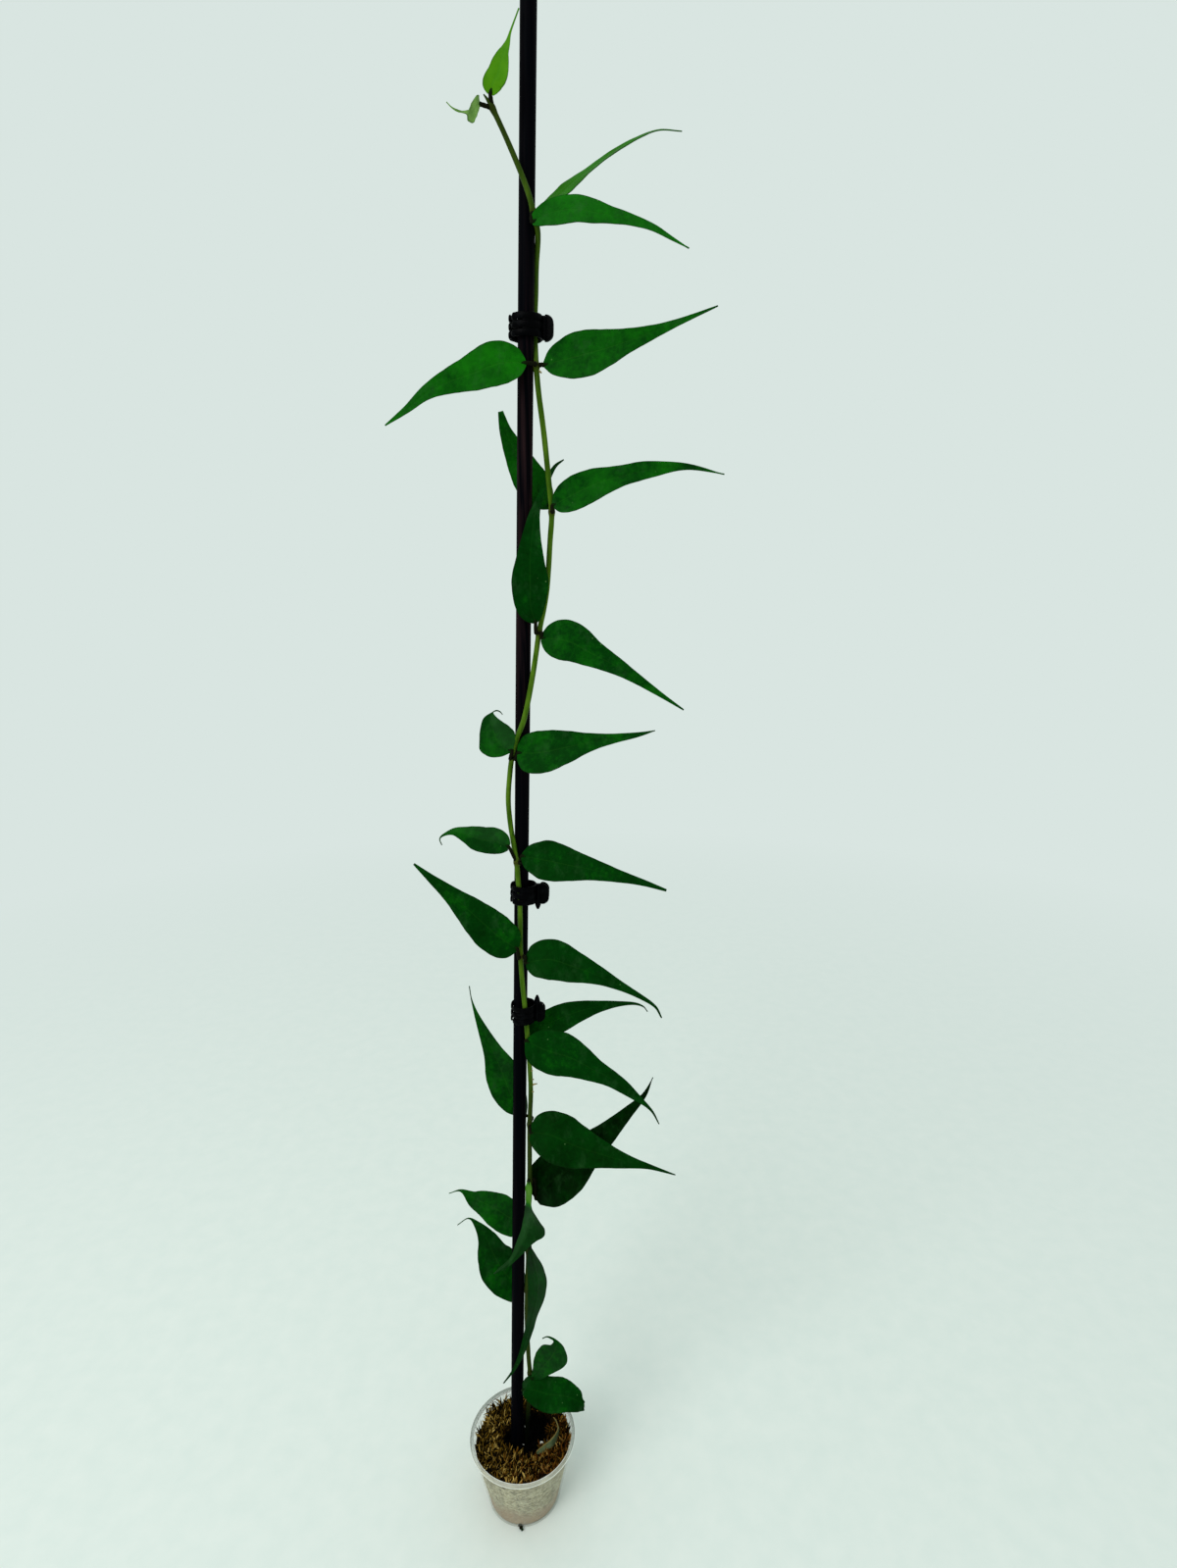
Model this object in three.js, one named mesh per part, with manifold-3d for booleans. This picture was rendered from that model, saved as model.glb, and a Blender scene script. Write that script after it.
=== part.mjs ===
// A potted hoya: one climbing stem with 27 leaves, clipped to a tall black stake in a small cup of moss.
// Millimetres, +Z up, +X to the right, the front faces -Y. The origin is the middle of the cup's flat base.
import * as THREE from "three";
import { mergeVertices } from "three/addons/utils/BufferGeometryUtils.js";
import Module from "manifold-3d";

const wasm = await Module();
wasm.setup();

// Driving dimensions
const GAP = 0.3;
const SEED = 27;
const SAME_PLACE = 1e-4;

const CUP = {
  height: 50, baseRadius: 24.6, rimRadius: 35.8, wall: 0.9, floor: 1.2, chamfer: 0.8, bead: 1.3, sides: 48,
};
const DRAIN = { count: 4, radius: 2, ringRadius: 14, sides: 12 };

// The stake's lean is in degrees, and rimX and rimY are its axis at the height of the cup's rim.
const STAKE = {
  radius: 4, length: 900, bevel: 0.8, stand: 0.5, sides: 20, leanRight: 2, leanBack: 1, rimX: -4, rimY: 1.9,
};

// Each tuft is a small hill with a random reach and rise; mostRise stops them piling up.
const MOSS = {
  level: 45, fallBackLeft: 4, dip: 1.2, rings: 8, sectors: 40,
  tufts: 64, reach: [2.2, 4.8], rise: [0.6, 2.6], mostRise: 2.8,
};

const STEM = { radius: 1.45, bottom: 14, apex: 832, sides: 6, step: 12, nodeSwell: 0.5, nodeReach: 1.7 };

// The end bud's rings: where each lies from the stem's tip, and its radius.
const BUD = [
  { from: [0, 0, 0], radius: 1.3 },
  { from: [-2, -0.5, 1.2], radius: 1.1 },
  { from: [-3.6, -0.8, 2], radius: 0.4 },
];

// Short roots and side buds: the height each starts at, its way out of the stem's middle, and its radius.
const ROOTLETS = [
  { height: 309, way: [2, -1.2, 0.5], radius: 0.6 },
  { height: 313, way: [4.2, -0.8, 2], radius: 0.6 },
  { height: 317, way: [2.2, -1, 1], radius: 0.6 },
  { height: 323, way: [1.8, -1.6, 1.5], radius: 0.6 },
  { height: 718, way: [2.6, -1.2, -1.5], radius: 0.7 },
];

// The stem's way up: its height, then how far it lies to the right of the stake's axis and in front of it.
const STEM_ROUTE = [
  [14, 7, 1],
  [53, 7, 1.5],
  [97, 8.5, 2],
  [111, 7.5, 2],
  [146, 5.9, 2],
  [190, 6.4, 1],
  [216, 6.5, 1],
  [244, 6.8, 1],
  [286, 6.5, 2.5],
  [311, 6.9, 3],
  [344, 5, 4.5],
  [353, 4.2, 5],
  [371, 2.7, 5.9],
  [384, 1.4, 6.2],
  [400, 0.4, 6.4],
  [438, -0.4, 6.2],
  [445, -1.6, 6],
  [457, -3.1, 5.5],
  [466, -5, 3.8],
  [479, -7.6, 1.5],
  [493, -8.8, 0.5],
  [508, -7.6, 1.2],
  [518, -5.9, 2.6],
  [528, -3.1, 5.5],
  [539, 1, 6.3],
  [557, 4.6, 5],
  [573, 6.9, 3],
  [586, 8.6, 2],
  [607, 12.3, 1],
  [635, 13.9, 0],
  [649, 14.5, 0],
  [665, 13.5, 1],
  [688, 11.2, 2],
  [707, 8.9, 2],
  [720, 6.7, 0.5],
  [732, 5.2, -3.2],
  [741, 4.7, -3.9],
  [755, 4.7, -3.9],
  [768, 5.3, -2.9],
  [781, 6.1, 0],
  [788, 5.2, 3.5],
  [797, 1.8, 6.1],
  [809, -4, 7],
  [821, -10.8, 9],
  [832, -17, 11],
];

// The heights of the joints where the leaves stand, from the lowest to the growing tip.
const NODES = {
  mLow: 91, m: 99, lLow: 164, l: 193, kLow: 216, k: 244, j: 286, i: 344,
  h: 400, g: 457, f: 518, e: 586, d: 649, c: 720, b: 788, a: 830,
};

// Each leaf: its joint, its width, and how far its face looks up and turns to the right, in degrees. A bend
// in its stalk is via, and way is its midrib from the blade's start to its tip, both in mm from the joint.
// Where a leaf differs, roll and rollTip twist it, and peak, spread, roundBase and blunt change its outline.
const LEAVES = {
  leaf_a_right: {
    at: "a", width: 11.5, up: 5,
    way: [[0, -2, 6], [4, -3, 14], [8, -2, 24], [11, 2, 33], [14, 6, 43]],
  },
  leaf_a_left: {
    at: "a", width: 14, up: 0, turn: -65,
    way: [[-4, -2, -1], [-6, -8, -5], [-9, -14, -8], [-19, -17, -7]],
  },
  leaf_b_upper: {
    at: "b", width: 16, up: 55,
    way: [[3, 2, 4], [17, 5, 13], [33, 9, 26], [53, 15, 38], [73, 20, 43]],
  },
  leaf_b_lower: {
    at: "b", width: 15, up: 14,
    way: [[2, -4, -4], [19, -7, -2], [37, -12, -7], [54, -16, -11], [73, -19, -23]],
  },
  leaf_c_left: {
    at: "c", width: 23, up: 12,
    via: [-2, -5.5, 0],
    way: [[-7, -7, 0], [-24, -10, -3], [-39, -14, -9], [-57, -18, -19], [-76, -20, -31]],
  },
  leaf_c_right: {
    at: "c", width: 23, up: 12, peak: 0.28,
    way: [[5, -2, 0], [21, -5, 4], [38, -7, 7], [62, -7, 16], [91, -3, 27]],
  },
  leaf_d_left: {
    at: "d", width: 18, up: 15,
    way: [[-2, 5, 5], [-12, 11, 19], [-21, 15, 34], [-27, 16, 50], [-23, 18, 54]],
  },
  leaf_d_right: {
    at: "d", width: 18.5, up: 15,
    way: [[4, -2, 1], [20, -7, 11], [40, -10, 17], [65, -10, 20], [90, -6, 18]],
  },
  leaf_e_up: {
    at: "e", width: 20, up: 10, peak: 0.26, spread: 0.34,
    way: [[-2, -4, 5], [-3, -7, 28], [-1, -6, 49], [4, 7, 71], [15, 11, 89]],
  },
  leaf_e_right: {
    at: "e", width: 23, up: 20,
    way: [[4, -3, -1], [18, -7, -5], [36, -11, -14], [53, -14, -25], [77, -17, -40]],
  },
  leaf_f_left: {
    at: "f", width: 19, up: 15, peak: 0.3,
    way: [[-3, -3, 3], [-7, -4, 11], [-11, -4, 19], [-9, -2, 24], [-4, -1, 24]],
  },
  leaf_f_right: {
    at: "f", width: 23, up: 25, roundBase: 0.15,
    way: [[4, -4, -1], [24, -8, 4], [43, -11, 10], [62, -13, 14], [80, -13, 18]],
  },
  leaf_g_left: {
    at: "g", width: 14.5, up: 30,
    way: [[-5, -3, 7], [-17, -5, 14], [-30, -6, 19], [-40, -6, 17], [-41, -4, 12]],
  },
  leaf_g_right: {
    at: "g", width: 24, up: 30,
    way: [[5, -2, 1], [22, -5, 2], [43, -8, -2], [64, -10, -8], [86, -11, -14]],
  },
  leaf_h_left: {
    at: "h", width: 24, up: 25,
    way: [[-5, -4, 6], [-15, -6, 18], [-30, -7, 33], [-44, -7, 47], [-58, -5, 58]],
  },
  leaf_h_right: {
    at: "h", width: 25, up: 35,
    way: [[4, -2, 1], [21, -5, -2], [41, -9, -7], [62, -12, -18], [82, -13, -33]],
  },
  leaf_i_back: {
    at: "i", width: 16, up: 35,
    way: [[5, 5, 1], [23, 12, 10], [40, 17, 14], [58, 21, 15], [74, 23, 8]],
  },
  leaf_i_front: {
    at: "i", width: 26, up: 35,
    way: [[2, -4, -3], [19, -9, -5], [40, -14, -12], [62, -18, -26], [78, -20, -43]],
  },
  leaf_j_left: {
    at: "j", width: 25, up: 30,
    via: [1, 7, 0],
    way: [[-5, 10, 1], [-13, 14, 17], [-21, 17, 37], [-29, 19, 61], [-37, 19, 83]],
  },
  leaf_j_right: {
    at: "j", width: 31, up: 40, roundBase: 0.14,
    way: [[3, -5, -2], [19, -11, -2], [39, -16, -7], [65, -21, -13], [88, -25, -17]],
  },
  leaf_k_right: {
    at: "k", width: 32, up: 45,
    way: [[5, 2, -2], [16, 1, -1], [36, 3, 17], [60, 5, 44], [79, 8, 69]],
  },
  leaf_k_front: {
    at: "k", width: 17, up: 30, roll: 95, rollTip: 20,
    way: [[1, -5, 0], [5, -14, -12], [4, -18, -28], [-7, -19, -39], [-22, -20, -50]],
  },
  leaf_k_left: {
    at: "kLow", width: 27, up: 40,
    via: [0, 6, -4],
    way: [[-7, 8, -9], [-20, 12, -4], [-33, 15, 1], [-44, 16, 6], [-52, 16, 9]],
  },
  leaf_l_left: {
    at: "lLow", width: 29, up: 40,
    via: [0, 6, -2],
    way: [[-7, 9, -4], [-19, 13, 2], [-28, 16, 18], [-34, 17, 32], [-46, 18, 37]],
  },
  leaf_l_front: {
    at: "l", width: 16, up: 25, roll: 35,
    way: [[2, -5, 2], [6, -10, -15], [5, -13, -34], [-3, -16, -59], [-16, -18, -83]],
  },
  leaf_m_curled: {
    at: "m", width: 19.5, up: 45, peak: 0.36,
    via: [3.5, 0, 3],
    way: [[5, -4, 7], [12, -7, 16], [18, -9, 25], [18, -8, 32], [12, -6, 35]],
  },
  leaf_m_blunt: {
    at: "mLow", width: 20.5, up: 45, blunt: true, roundBase: 0.3,
    way: [[1, -6, 1], [10, -9, -1], [22, -11, 0], [36, -13, -3]],
  },
};

// What the leaves share: a blade thick at its midrib and thin at its edge, folded up a little and waved, with
// steps along it packed towards its base. Half its width is a bell with its top at peak, and a straight tail.
const LEAF = {
  thickness: 0.9, edge: 0.64, steps: 10, columns: 4, packing: 1.3, fold: 0.1, wave: 0.5, waves: 2.5,
  fullWave: 6, fullThickness: 4, phase: 2.4, peak: 0.24, spread: 0.33, belly: 0.8, tail: 0.26,
  roundBase: 0.2, bluntEnd: 1.9, stub: 0.5, tip: 0.3,
};
const PETIOLE = { radius: 1, end: 0.5, sides: 6, knee: 1.3, reach: 2.5, off: 0.35 };
const YOUNG_LEAVES = ["leaf_a_right", "leaf_a_left"];

// The withered leaf lies on the moss: its midrib's way across the moss, and how high it lies there.
const WITHERED = {
  way: [[9, -13.5], [17, -12], [22.5, -7], [24, 1.5], [21.5, 8.5]],
  width: 6, lift: 2, up: 60, turn: 60, peak: 0.45, phase: 1,
};

// Each clip: its height on the stake, where its ring's middle lies off the stake's axis, and whether its
// spike points up or down.
const CLIPS = {
  clip_top: { height: 738.5, right: 1, back: 1.3, spike: "up" },
  clip_middle: { height: 436, right: 0.4, back: -1.85, spike: "down" },
  clip_bottom: { height: 362, right: 1.1, back: -1.65, spike: "up" },
};
// Three fingers lie round a plate that is open on the left; finger holds half a finger's depth and height.
const CLIP = {
  ring: 7.2, finger: [0.65, 1.5], fingerSteps: 14, pitch: 3.6, slotAt: 205, slotWidth: 0.8,
  inner: 6.45, outer: 7.4, height: 9.6, open: 105,
  hub: 1.9, hubOut: 1, hubHeight: 10.6, spike: 2.6, spikeEnd: 0.3,
  lever: { reach: 5, tall: 11.5, thick: 1.5, taper: 1.5, round: 3.2, spread: 24 },
};

const UP = new THREE.Vector3(0, 0, 1);
const BACK = new THREE.Vector3(0, 1, 0);
const radians = THREE.MathUtils.degToRad;

function material(color, roughness, extra = {}) {
  return new THREE.MeshStandardMaterial({ color, roughness, metalness: 0, ...extra });
}
const MATERIALS = {
  cup: material("#c9cbbd", 0.25, { transparent: true, opacity: 0.45 }),
  moss: material("#6b5421", 0.95),
  stake: material("#0e0b0d", 0.45),
  stem: material("#50641f", 0.6),
  leaf: material("#0c4a14", 0.4),
  youngLeaf: material("#4c8a1c", 0.45),
  clip: material("#0b0b0c", 0.4),
  witheredLeaf: material("#8e9a77", 0.7),
};

// Repeatable random numbers from 0 to 1.
function randomFrom(seed) {
  let state = seed;
  return () => {
    state = (state * 1664525 + 1013904223) % 4294967296;
    return state / 4294967296;
  };
}

// A closed surface from points and triangles, turned so that its faces look outwards.
function closedSurface(points, triangles) {
  const cross = new THREE.Vector3();
  let volume = 0;
  for (const [a, b, c] of triangles) {
    volume += points[a].dot(cross.crossVectors(points[b], points[c]));
  }
  const geometry = new THREE.BufferGeometry().setFromPoints(points);
  geometry.setIndex(triangles.flatMap(([a, b, c]) => (volume > 0 ? [a, b, c] : [a, c, b])));
  return geometry;
}

// Joins and cuts, made with manifold-3d on the bare vertices and triangles
function toSolid(geometry) {
  const bare = geometry.clone();
  bare.deleteAttribute("normal");
  bare.deleteAttribute("uv");
  const merged = mergeVertices(bare, SAME_PLACE);
  return new wasm.Manifold(
    new wasm.Mesh({
      numProp: 3,
      vertProperties: new Float32Array(merged.attributes.position.array),
      triVerts: new Uint32Array(merged.index.array),
    }),
  );
}

function toGeometry(solid) {
  const mesh = solid.getMesh();
  const geometry = new THREE.BufferGeometry();
  geometry.setAttribute("position", new THREE.BufferAttribute(mesh.vertProperties, 3));
  geometry.setIndex(new THREE.BufferAttribute(mesh.triVerts, 1));
  return geometry;
}

function joined(geometries) {
  return toGeometry(geometries.map(toSolid).reduce((whole, piece) => whole.add(piece)));
}

function without(geometry, cutters) {
  const cut = cutters.map(toSolid).reduce((rest, cutter) => rest.subtract(cutter), toSolid(geometry));
  return toGeometry(cut);
}

function namedMesh(name, geometry, look) {
  geometry.computeVertexNormals();
  const mesh = new THREE.Mesh(geometry, look);
  mesh.name = name;
  return mesh;
}

// A tube with closed ends along a path. halfSizes gives each ring's half size across and along the direction
// that is called side.
function tube(path, halfSizes, sides, side = UP) {
  const points = [];
  const triangles = [];
  path.forEach((centre, i) => {
    const ahead = path[Math.min(i + 1, path.length - 1)];
    const tangent = ahead.clone().sub(path[Math.max(i - 1, 0)]).normalize();
    const across = new THREE.Vector3().crossVectors(side, tangent).normalize();
    const along = new THREE.Vector3().crossVectors(tangent, across);
    const [a, b] = halfSizes[i];
    for (let k = 0; k < sides; k += 1) {
      const angle = (2 * Math.PI * k) / sides;
      const point = centre.clone().addScaledVector(across, a * Math.cos(angle));
      points.push(point.addScaledVector(along, b * Math.sin(angle)));
    }
  });
  const ring = (i, k) => i * sides + (k % sides);
  for (let i = 0; i + 1 < path.length; i += 1) {
    for (let k = 0; k < sides; k += 1) {
      triangles.push([ring(i, k), ring(i, k + 1), ring(i + 1, k + 1)]);
      triangles.push([ring(i, k), ring(i + 1, k + 1), ring(i + 1, k)]);
    }
  }
  const last = path.length - 1;
  for (let k = 1; k + 1 < sides; k += 1) {
    triangles.push([ring(0, 0), ring(0, k + 1), ring(0, k)]);
    triangles.push([ring(last, 0), ring(last, k), ring(last, k + 1)]);
  }
  return closedSurface(points, triangles);
}

function latheAboutZ(profile, sides) {
  const outline = profile.map(([radius, height]) => new THREE.Vector2(radius, height));
  return new THREE.LatheGeometry(outline, sides).rotateX(Math.PI / 2);
}

// Places on the stake and the stem
const STAKE_LEAN = new THREE.Vector3(
  Math.tan(radians(STAKE.leanRight)),
  Math.tan(radians(STAKE.leanBack)),
  1,
);

function stakeAt(height) {
  const rim = new THREE.Vector3(STAKE.rimX, STAKE.rimY, CUP.height);
  return rim.addScaledVector(STAKE_LEAN, height - CUP.height);
}

// The stem's centre at a height: a smooth curve through the points of its route.
function stemAt(height) {
  const last = STEM_ROUTE.length - 2;
  const above = STEM_ROUTE.findIndex(([z]) => z > height);
  const i = above < 0 ? last : Math.min(Math.max(above - 1, 0), last);
  const slope = (k, column) => {
    const before = STEM_ROUTE[Math.max(k - 1, 0)];
    const after = STEM_ROUTE[Math.min(k + 1, last + 1)];
    return (after[column] - before[column]) / (after[0] - before[0]);
  };
  const [from, to] = [STEM_ROUTE[i], STEM_ROUTE[i + 1]];
  const span = to[0] - from[0];
  const t = (height - from[0]) / span;
  const value = (column) =>
    (2 * t ** 3 - 3 * t ** 2 + 1) * from[column] +
    (t ** 3 - 2 * t ** 2 + t) * span * slope(i, column) +
    (3 * t ** 2 - 2 * t ** 3) * to[column] +
    (t ** 3 - t ** 2) * span * slope(i + 1, column);
  const axis = stakeAt(height);
  return new THREE.Vector3(axis.x + value(1), axis.y - value(2), height);
}

function stemRadius(height) {
  const swell = Object.values(NODES).map((z) => Math.exp(-(((height - z) / STEM.nodeReach) ** 2)));
  return STEM.radius + STEM.nodeSwell * Math.max(...swell);
}

// Cup
function cupRadius(height) {
  const top = CUP.height - 2 * CUP.bead;
  const under = CUP.rimRadius - CUP.bead;
  return CUP.baseRadius + ((under - CUP.baseRadius) * height) / top;
}

// The rolled rim, seen in section: three quarters of a circle, from its lowest point outwards and over.
function rimBead() {
  const middle = new THREE.Vector2(CUP.rimRadius - CUP.bead, CUP.height - CUP.bead);
  return Array.from({ length: 7 }, (_, k) => {
    const angle = radians(-90 + 45 * k);
    return [middle.x + CUP.bead * Math.cos(angle), middle.y + CUP.bead * Math.sin(angle)];
  });
}

function drainHole(k) {
  const angle = radians(45 + (360 / DRAIN.count) * k);
  const hole = new THREE.CylinderGeometry(DRAIN.radius, DRAIN.radius, 4 * CUP.floor, DRAIN.sides);
  hole.rotateX(Math.PI / 2);
  return hole.translate(DRAIN.ringRadius * Math.cos(angle), DRAIN.ringRadius * Math.sin(angle), 0);
}

function cup() {
  const lip = CUP.height - 2 * CUP.bead;
  const step = 0.1;
  const profile = [
    [0, 0],
    [CUP.baseRadius - CUP.chamfer, 0],
    [CUP.baseRadius, CUP.chamfer],
    [cupRadius(lip) - step, lip - step],
    ...rimBead(),
    [cupRadius(lip) - CUP.wall, lip - CUP.wall],
    [cupRadius(CUP.floor) - CUP.wall, CUP.floor],
    [0, CUP.floor],
  ];
  const holes = Array.from({ length: DRAIN.count }, (_, k) => drainHole(k));
  return namedMesh("cup", without(latheAboutZ(profile, CUP.sides), holes), MATERIALS.cup);
}

// Moss that fills the cup, tufted on top, with plain holes for the stake and the stem.
function tufts() {
  const random = randomFrom(SEED);
  const between = ([low, high]) => low + (high - low) * random();
  return Array.from({ length: MOSS.tufts }, () => {
    const angle = 2 * Math.PI * random();
    const out = cupRadius(CUP.height) * Math.sqrt(random());
    const reach = between(MOSS.reach);
    const rise = between(MOSS.rise);
    return { x: out * Math.cos(angle), y: out * Math.sin(angle), reach, rise };
  });
}
const TUFTS = tufts();

function mossHeight(x, y) {
  const backLeft = (y - x) / (Math.SQRT2 * CUP.rimRadius);
  const hills = TUFTS.map((t) => t.rise * Math.exp(-((x - t.x) ** 2 + (y - t.y) ** 2) / t.reach ** 2));
  const raised = Math.min(hills.reduce((sum, hill) => sum + hill, 0), MOSS.mostRise);
  return MOSS.level - MOSS.fallBackLeft * Math.max(backLeft, 0) - MOSS.dip + raised;
}

// The moss inside the cup: a flat bottom, a wall clear of the cup's, and rings of points over its tufted top.
function mossBlock() {
  const bottom = CUP.floor + GAP;
  const wallClear = CUP.wall + GAP + 0.1;
  const edge = MOSS.level - MOSS.fallBackLeft;
  const points = [new THREE.Vector3(0, 0, bottom), new THREE.Vector3(0, 0, mossHeight(0, 0))];
  const triangles = [];
  const place = (ring, k) => 2 + ring * MOSS.sectors + (k % MOSS.sectors);
  const around = (out, k) => {
    const angle = (2 * Math.PI * k) / MOSS.sectors;
    return [out * Math.cos(angle), out * Math.sin(angle)];
  };
  for (let ring = 1; ring <= MOSS.rings; ring += 1) {
    for (let k = 0; k < MOSS.sectors; k += 1) {
      const [x, y] = around((ring / MOSS.rings) * (cupRadius(edge) - wallClear), k);
      points.push(new THREE.Vector3(x, y, mossHeight(x, y)));
    }
  }
  for (let k = 0; k < MOSS.sectors; k += 1) {
    points.push(new THREE.Vector3(...around(cupRadius(bottom) - wallClear, k), bottom));
  }
  for (let k = 0; k < MOSS.sectors; k += 1) {
    triangles.push([1, place(0, k), place(0, k + 1)]);
    for (let ring = 0; ring < MOSS.rings; ring += 1) {
      triangles.push([place(ring, k), place(ring + 1, k), place(ring + 1, k + 1)]);
      triangles.push([place(ring, k), place(ring + 1, k + 1), place(ring, k + 1)]);
    }
    triangles.push([0, place(MOSS.rings, k + 1), place(MOSS.rings, k)]);
  }
  return closedSurface(points, triangles);
}

function moss() {
  const above = CUP.height + 15;
  const stakeHole = [stakeAt(-10), stakeAt(above)];
  const stakeWide = STAKE.radius + GAP;
  const stemHole = [STEM.bottom - 0.5, 20, 30, 40, 50, above].map(stemAt);
  const stemWide = STEM.radius + GAP + 0.1;
  const cutters = [
    tube(stakeHole, stakeHole.map(() => [stakeWide, stakeWide]), STAKE.sides, BACK),
    tube(stemHole, stemHole.map(() => [stemWide, stemWide]), STEM.sides + 3, BACK),
  ];
  return namedMesh("moss", without(mossBlock(), cutters), MATERIALS.moss);
}

// Stake: a plain round rod that stands on the cup's floor.
function stake() {
  const { radius, bevel, length } = STAKE;
  const profile = [
    [0, 0],
    [radius - bevel, 0],
    [radius, bevel],
    [radius, length - bevel],
    [radius - bevel, length],
    [0, length],
  ];
  const mesh = namedMesh("stake", latheAboutZ(profile, STAKE.sides), MATERIALS.stake);
  mesh.quaternion.setFromUnitVectors(UP, STAKE_LEAN.clone().normalize());
  mesh.position.copy(stakeAt(CUP.floor + STAKE.stand));
  return mesh;
}

// Stem: swollen a little at each joint, with short roots above joint j and a bud at its tip
function stemHeights() {
  const heights = [];
  for (let z = STEM.bottom; z < STEM.apex; z += STEM.step) {
    heights.push(z);
  }
  for (const z of Object.values(NODES)) {
    heights.push(z - 3, z - 1.5, z, z + 1.5);
  }
  heights.sort((a, b) => a - b);
  const closest = 0.9;
  return heights.filter((z, i) => z <= STEM.apex && (i === 0 || z - heights[i - 1] > closest));
}

function rootlet({ height, way, radius }) {
  const start = stemAt(height);
  const end = start.clone().add(new THREE.Vector3(...way));
  return tube([start, end], [[radius, radius], [0.5 * radius, 0.5 * radius]], 5);
}

function stem() {
  const heights = stemHeights();
  const tip = stemAt(STEM.apex);
  const path = heights.map(stemAt).concat(BUD.map(({ from }) => new THREE.Vector3(...from).add(tip)));
  const radii = heights.map(stemRadius).concat(BUD.map(({ radius }) => radius));
  const body = tube(path, radii.map((radius) => [radius, radius]), STEM.sides, BACK);
  return namedMesh("stem", joined([body, ...ROOTLETS.map(rootlet)]), MATERIALS.stem);
}

// Leaves: half the width at a share t of the length, as a share of the leaf's widest half
function outline(t, leaf) {
  const { peak, spread, roundBase, blunt } = { ...LEAF, ...leaf };
  const start = Math.min(t / roundBase, 1);
  const round = Math.sqrt(Math.max(1 - (1 - start) ** 2, 0));
  if (blunt) {
    return round * Math.min(1, LEAF.bluntEnd * Math.sqrt(Math.max(1 - t, 0)));
  }
  return round * (LEAF.belly * Math.exp(-(((t - peak) / spread) ** 2)) + LEAF.tail * (1 - t));
}

// The direction of the leaf's upper face, square to its midrib and rolled about it.
function faceNormal({ up, turn = 0, roll = 0, rollTip = roll }, tangent, t) {
  const level = Math.cos(radians(up));
  const face = new THREE.Vector3(level * Math.sin(radians(turn)), -level * Math.cos(radians(turn)), 0);
  face.z = Math.sin(radians(up));
  const rolled = roll + (rollTip - roll) * Math.min(2 * t, 1);
  return face.projectOnPlane(tangent).normalize().applyAxisAngle(tangent, radians(rolled));
}

// One row of points across the blade, the upper and the lower face by turns.
function bladeRow(leaf, way, t, phase) {
  const tangent = way.getTangent(t);
  const normal = faceNormal(leaf, tangent, t);
  const side = new THREE.Vector3().crossVectors(tangent, normal);
  const half = Math.max((leaf.width / 2) * outline(t, leaf), t < 0.5 ? LEAF.stub : LEAF.tip);
  const points = [];
  for (let j = 0; j <= LEAF.columns; j += 1) {
    const s = (2 * j) / LEAF.columns - 1;
    const otherSide = s > 0 ? 2 : 0;
    const ripple = LEAF.wave * Math.sin(2 * Math.PI * LEAF.waves * t + phase + otherSide);
    const lift = s * s * (half * LEAF.fold + ripple * Math.min(half / LEAF.fullWave, 1));
    const midrib = (1 - s * s) * Math.min(half / LEAF.fullThickness, 1);
    const thick = LEAF.edge + (LEAF.thickness - LEAF.edge) * midrib;
    const centre = way.getPoint(t).addScaledVector(side, half * s).addScaledVector(normal, lift);
    points.push(centre.clone().addScaledVector(normal, thick / 2));
    points.push(centre.clone().addScaledVector(normal, -thick / 2));
  }
  return points;
}

function blade(leaf, joint, phase) {
  const along = leaf.way.map((p) => joint.clone().add(new THREE.Vector3(...p)));
  const way = new THREE.CatmullRomCurve3(along, false, "catmullrom");
  const { steps: rows, columns } = LEAF;
  const shares = Array.from({ length: rows + 1 }, (_, i) => (i / rows) ** LEAF.packing);
  const points = shares.flatMap((t) => bladeRow(leaf, way, t, phase));
  const triangles = [];
  const top = (i, j) => 2 * (i * (columns + 1) + j);
  const quad = (a, b, c, d) => triangles.push([a, b, c], [a, c, d]);
  for (let i = 0; i < rows; i += 1) {
    for (let j = 0; j < columns; j += 1) {
      quad(top(i, j), top(i, j + 1), top(i + 1, j + 1), top(i + 1, j));
      triangles.push([top(i, j) + 1, top(i + 1, j + 1) + 1, top(i, j + 1) + 1]);
      triangles.push([top(i, j) + 1, top(i + 1, j) + 1, top(i + 1, j + 1) + 1]);
    }
    quad(top(i, 0), top(i + 1, 0), top(i + 1, 0) + 1, top(i, 0) + 1);
    quad(top(i + 1, columns), top(i, columns), top(i, columns) + 1, top(i + 1, columns) + 1);
  }
  for (let j = 0; j < columns; j += 1) {
    quad(top(0, j + 1), top(0, j), top(0, j) + 1, top(0, j + 1) + 1);
    quad(top(rows, j), top(rows, j + 1), top(rows, j + 1) + 1, top(rows, j) + 1);
  }
  return { surface: closedSurface(points, triangles), way };
}

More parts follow.
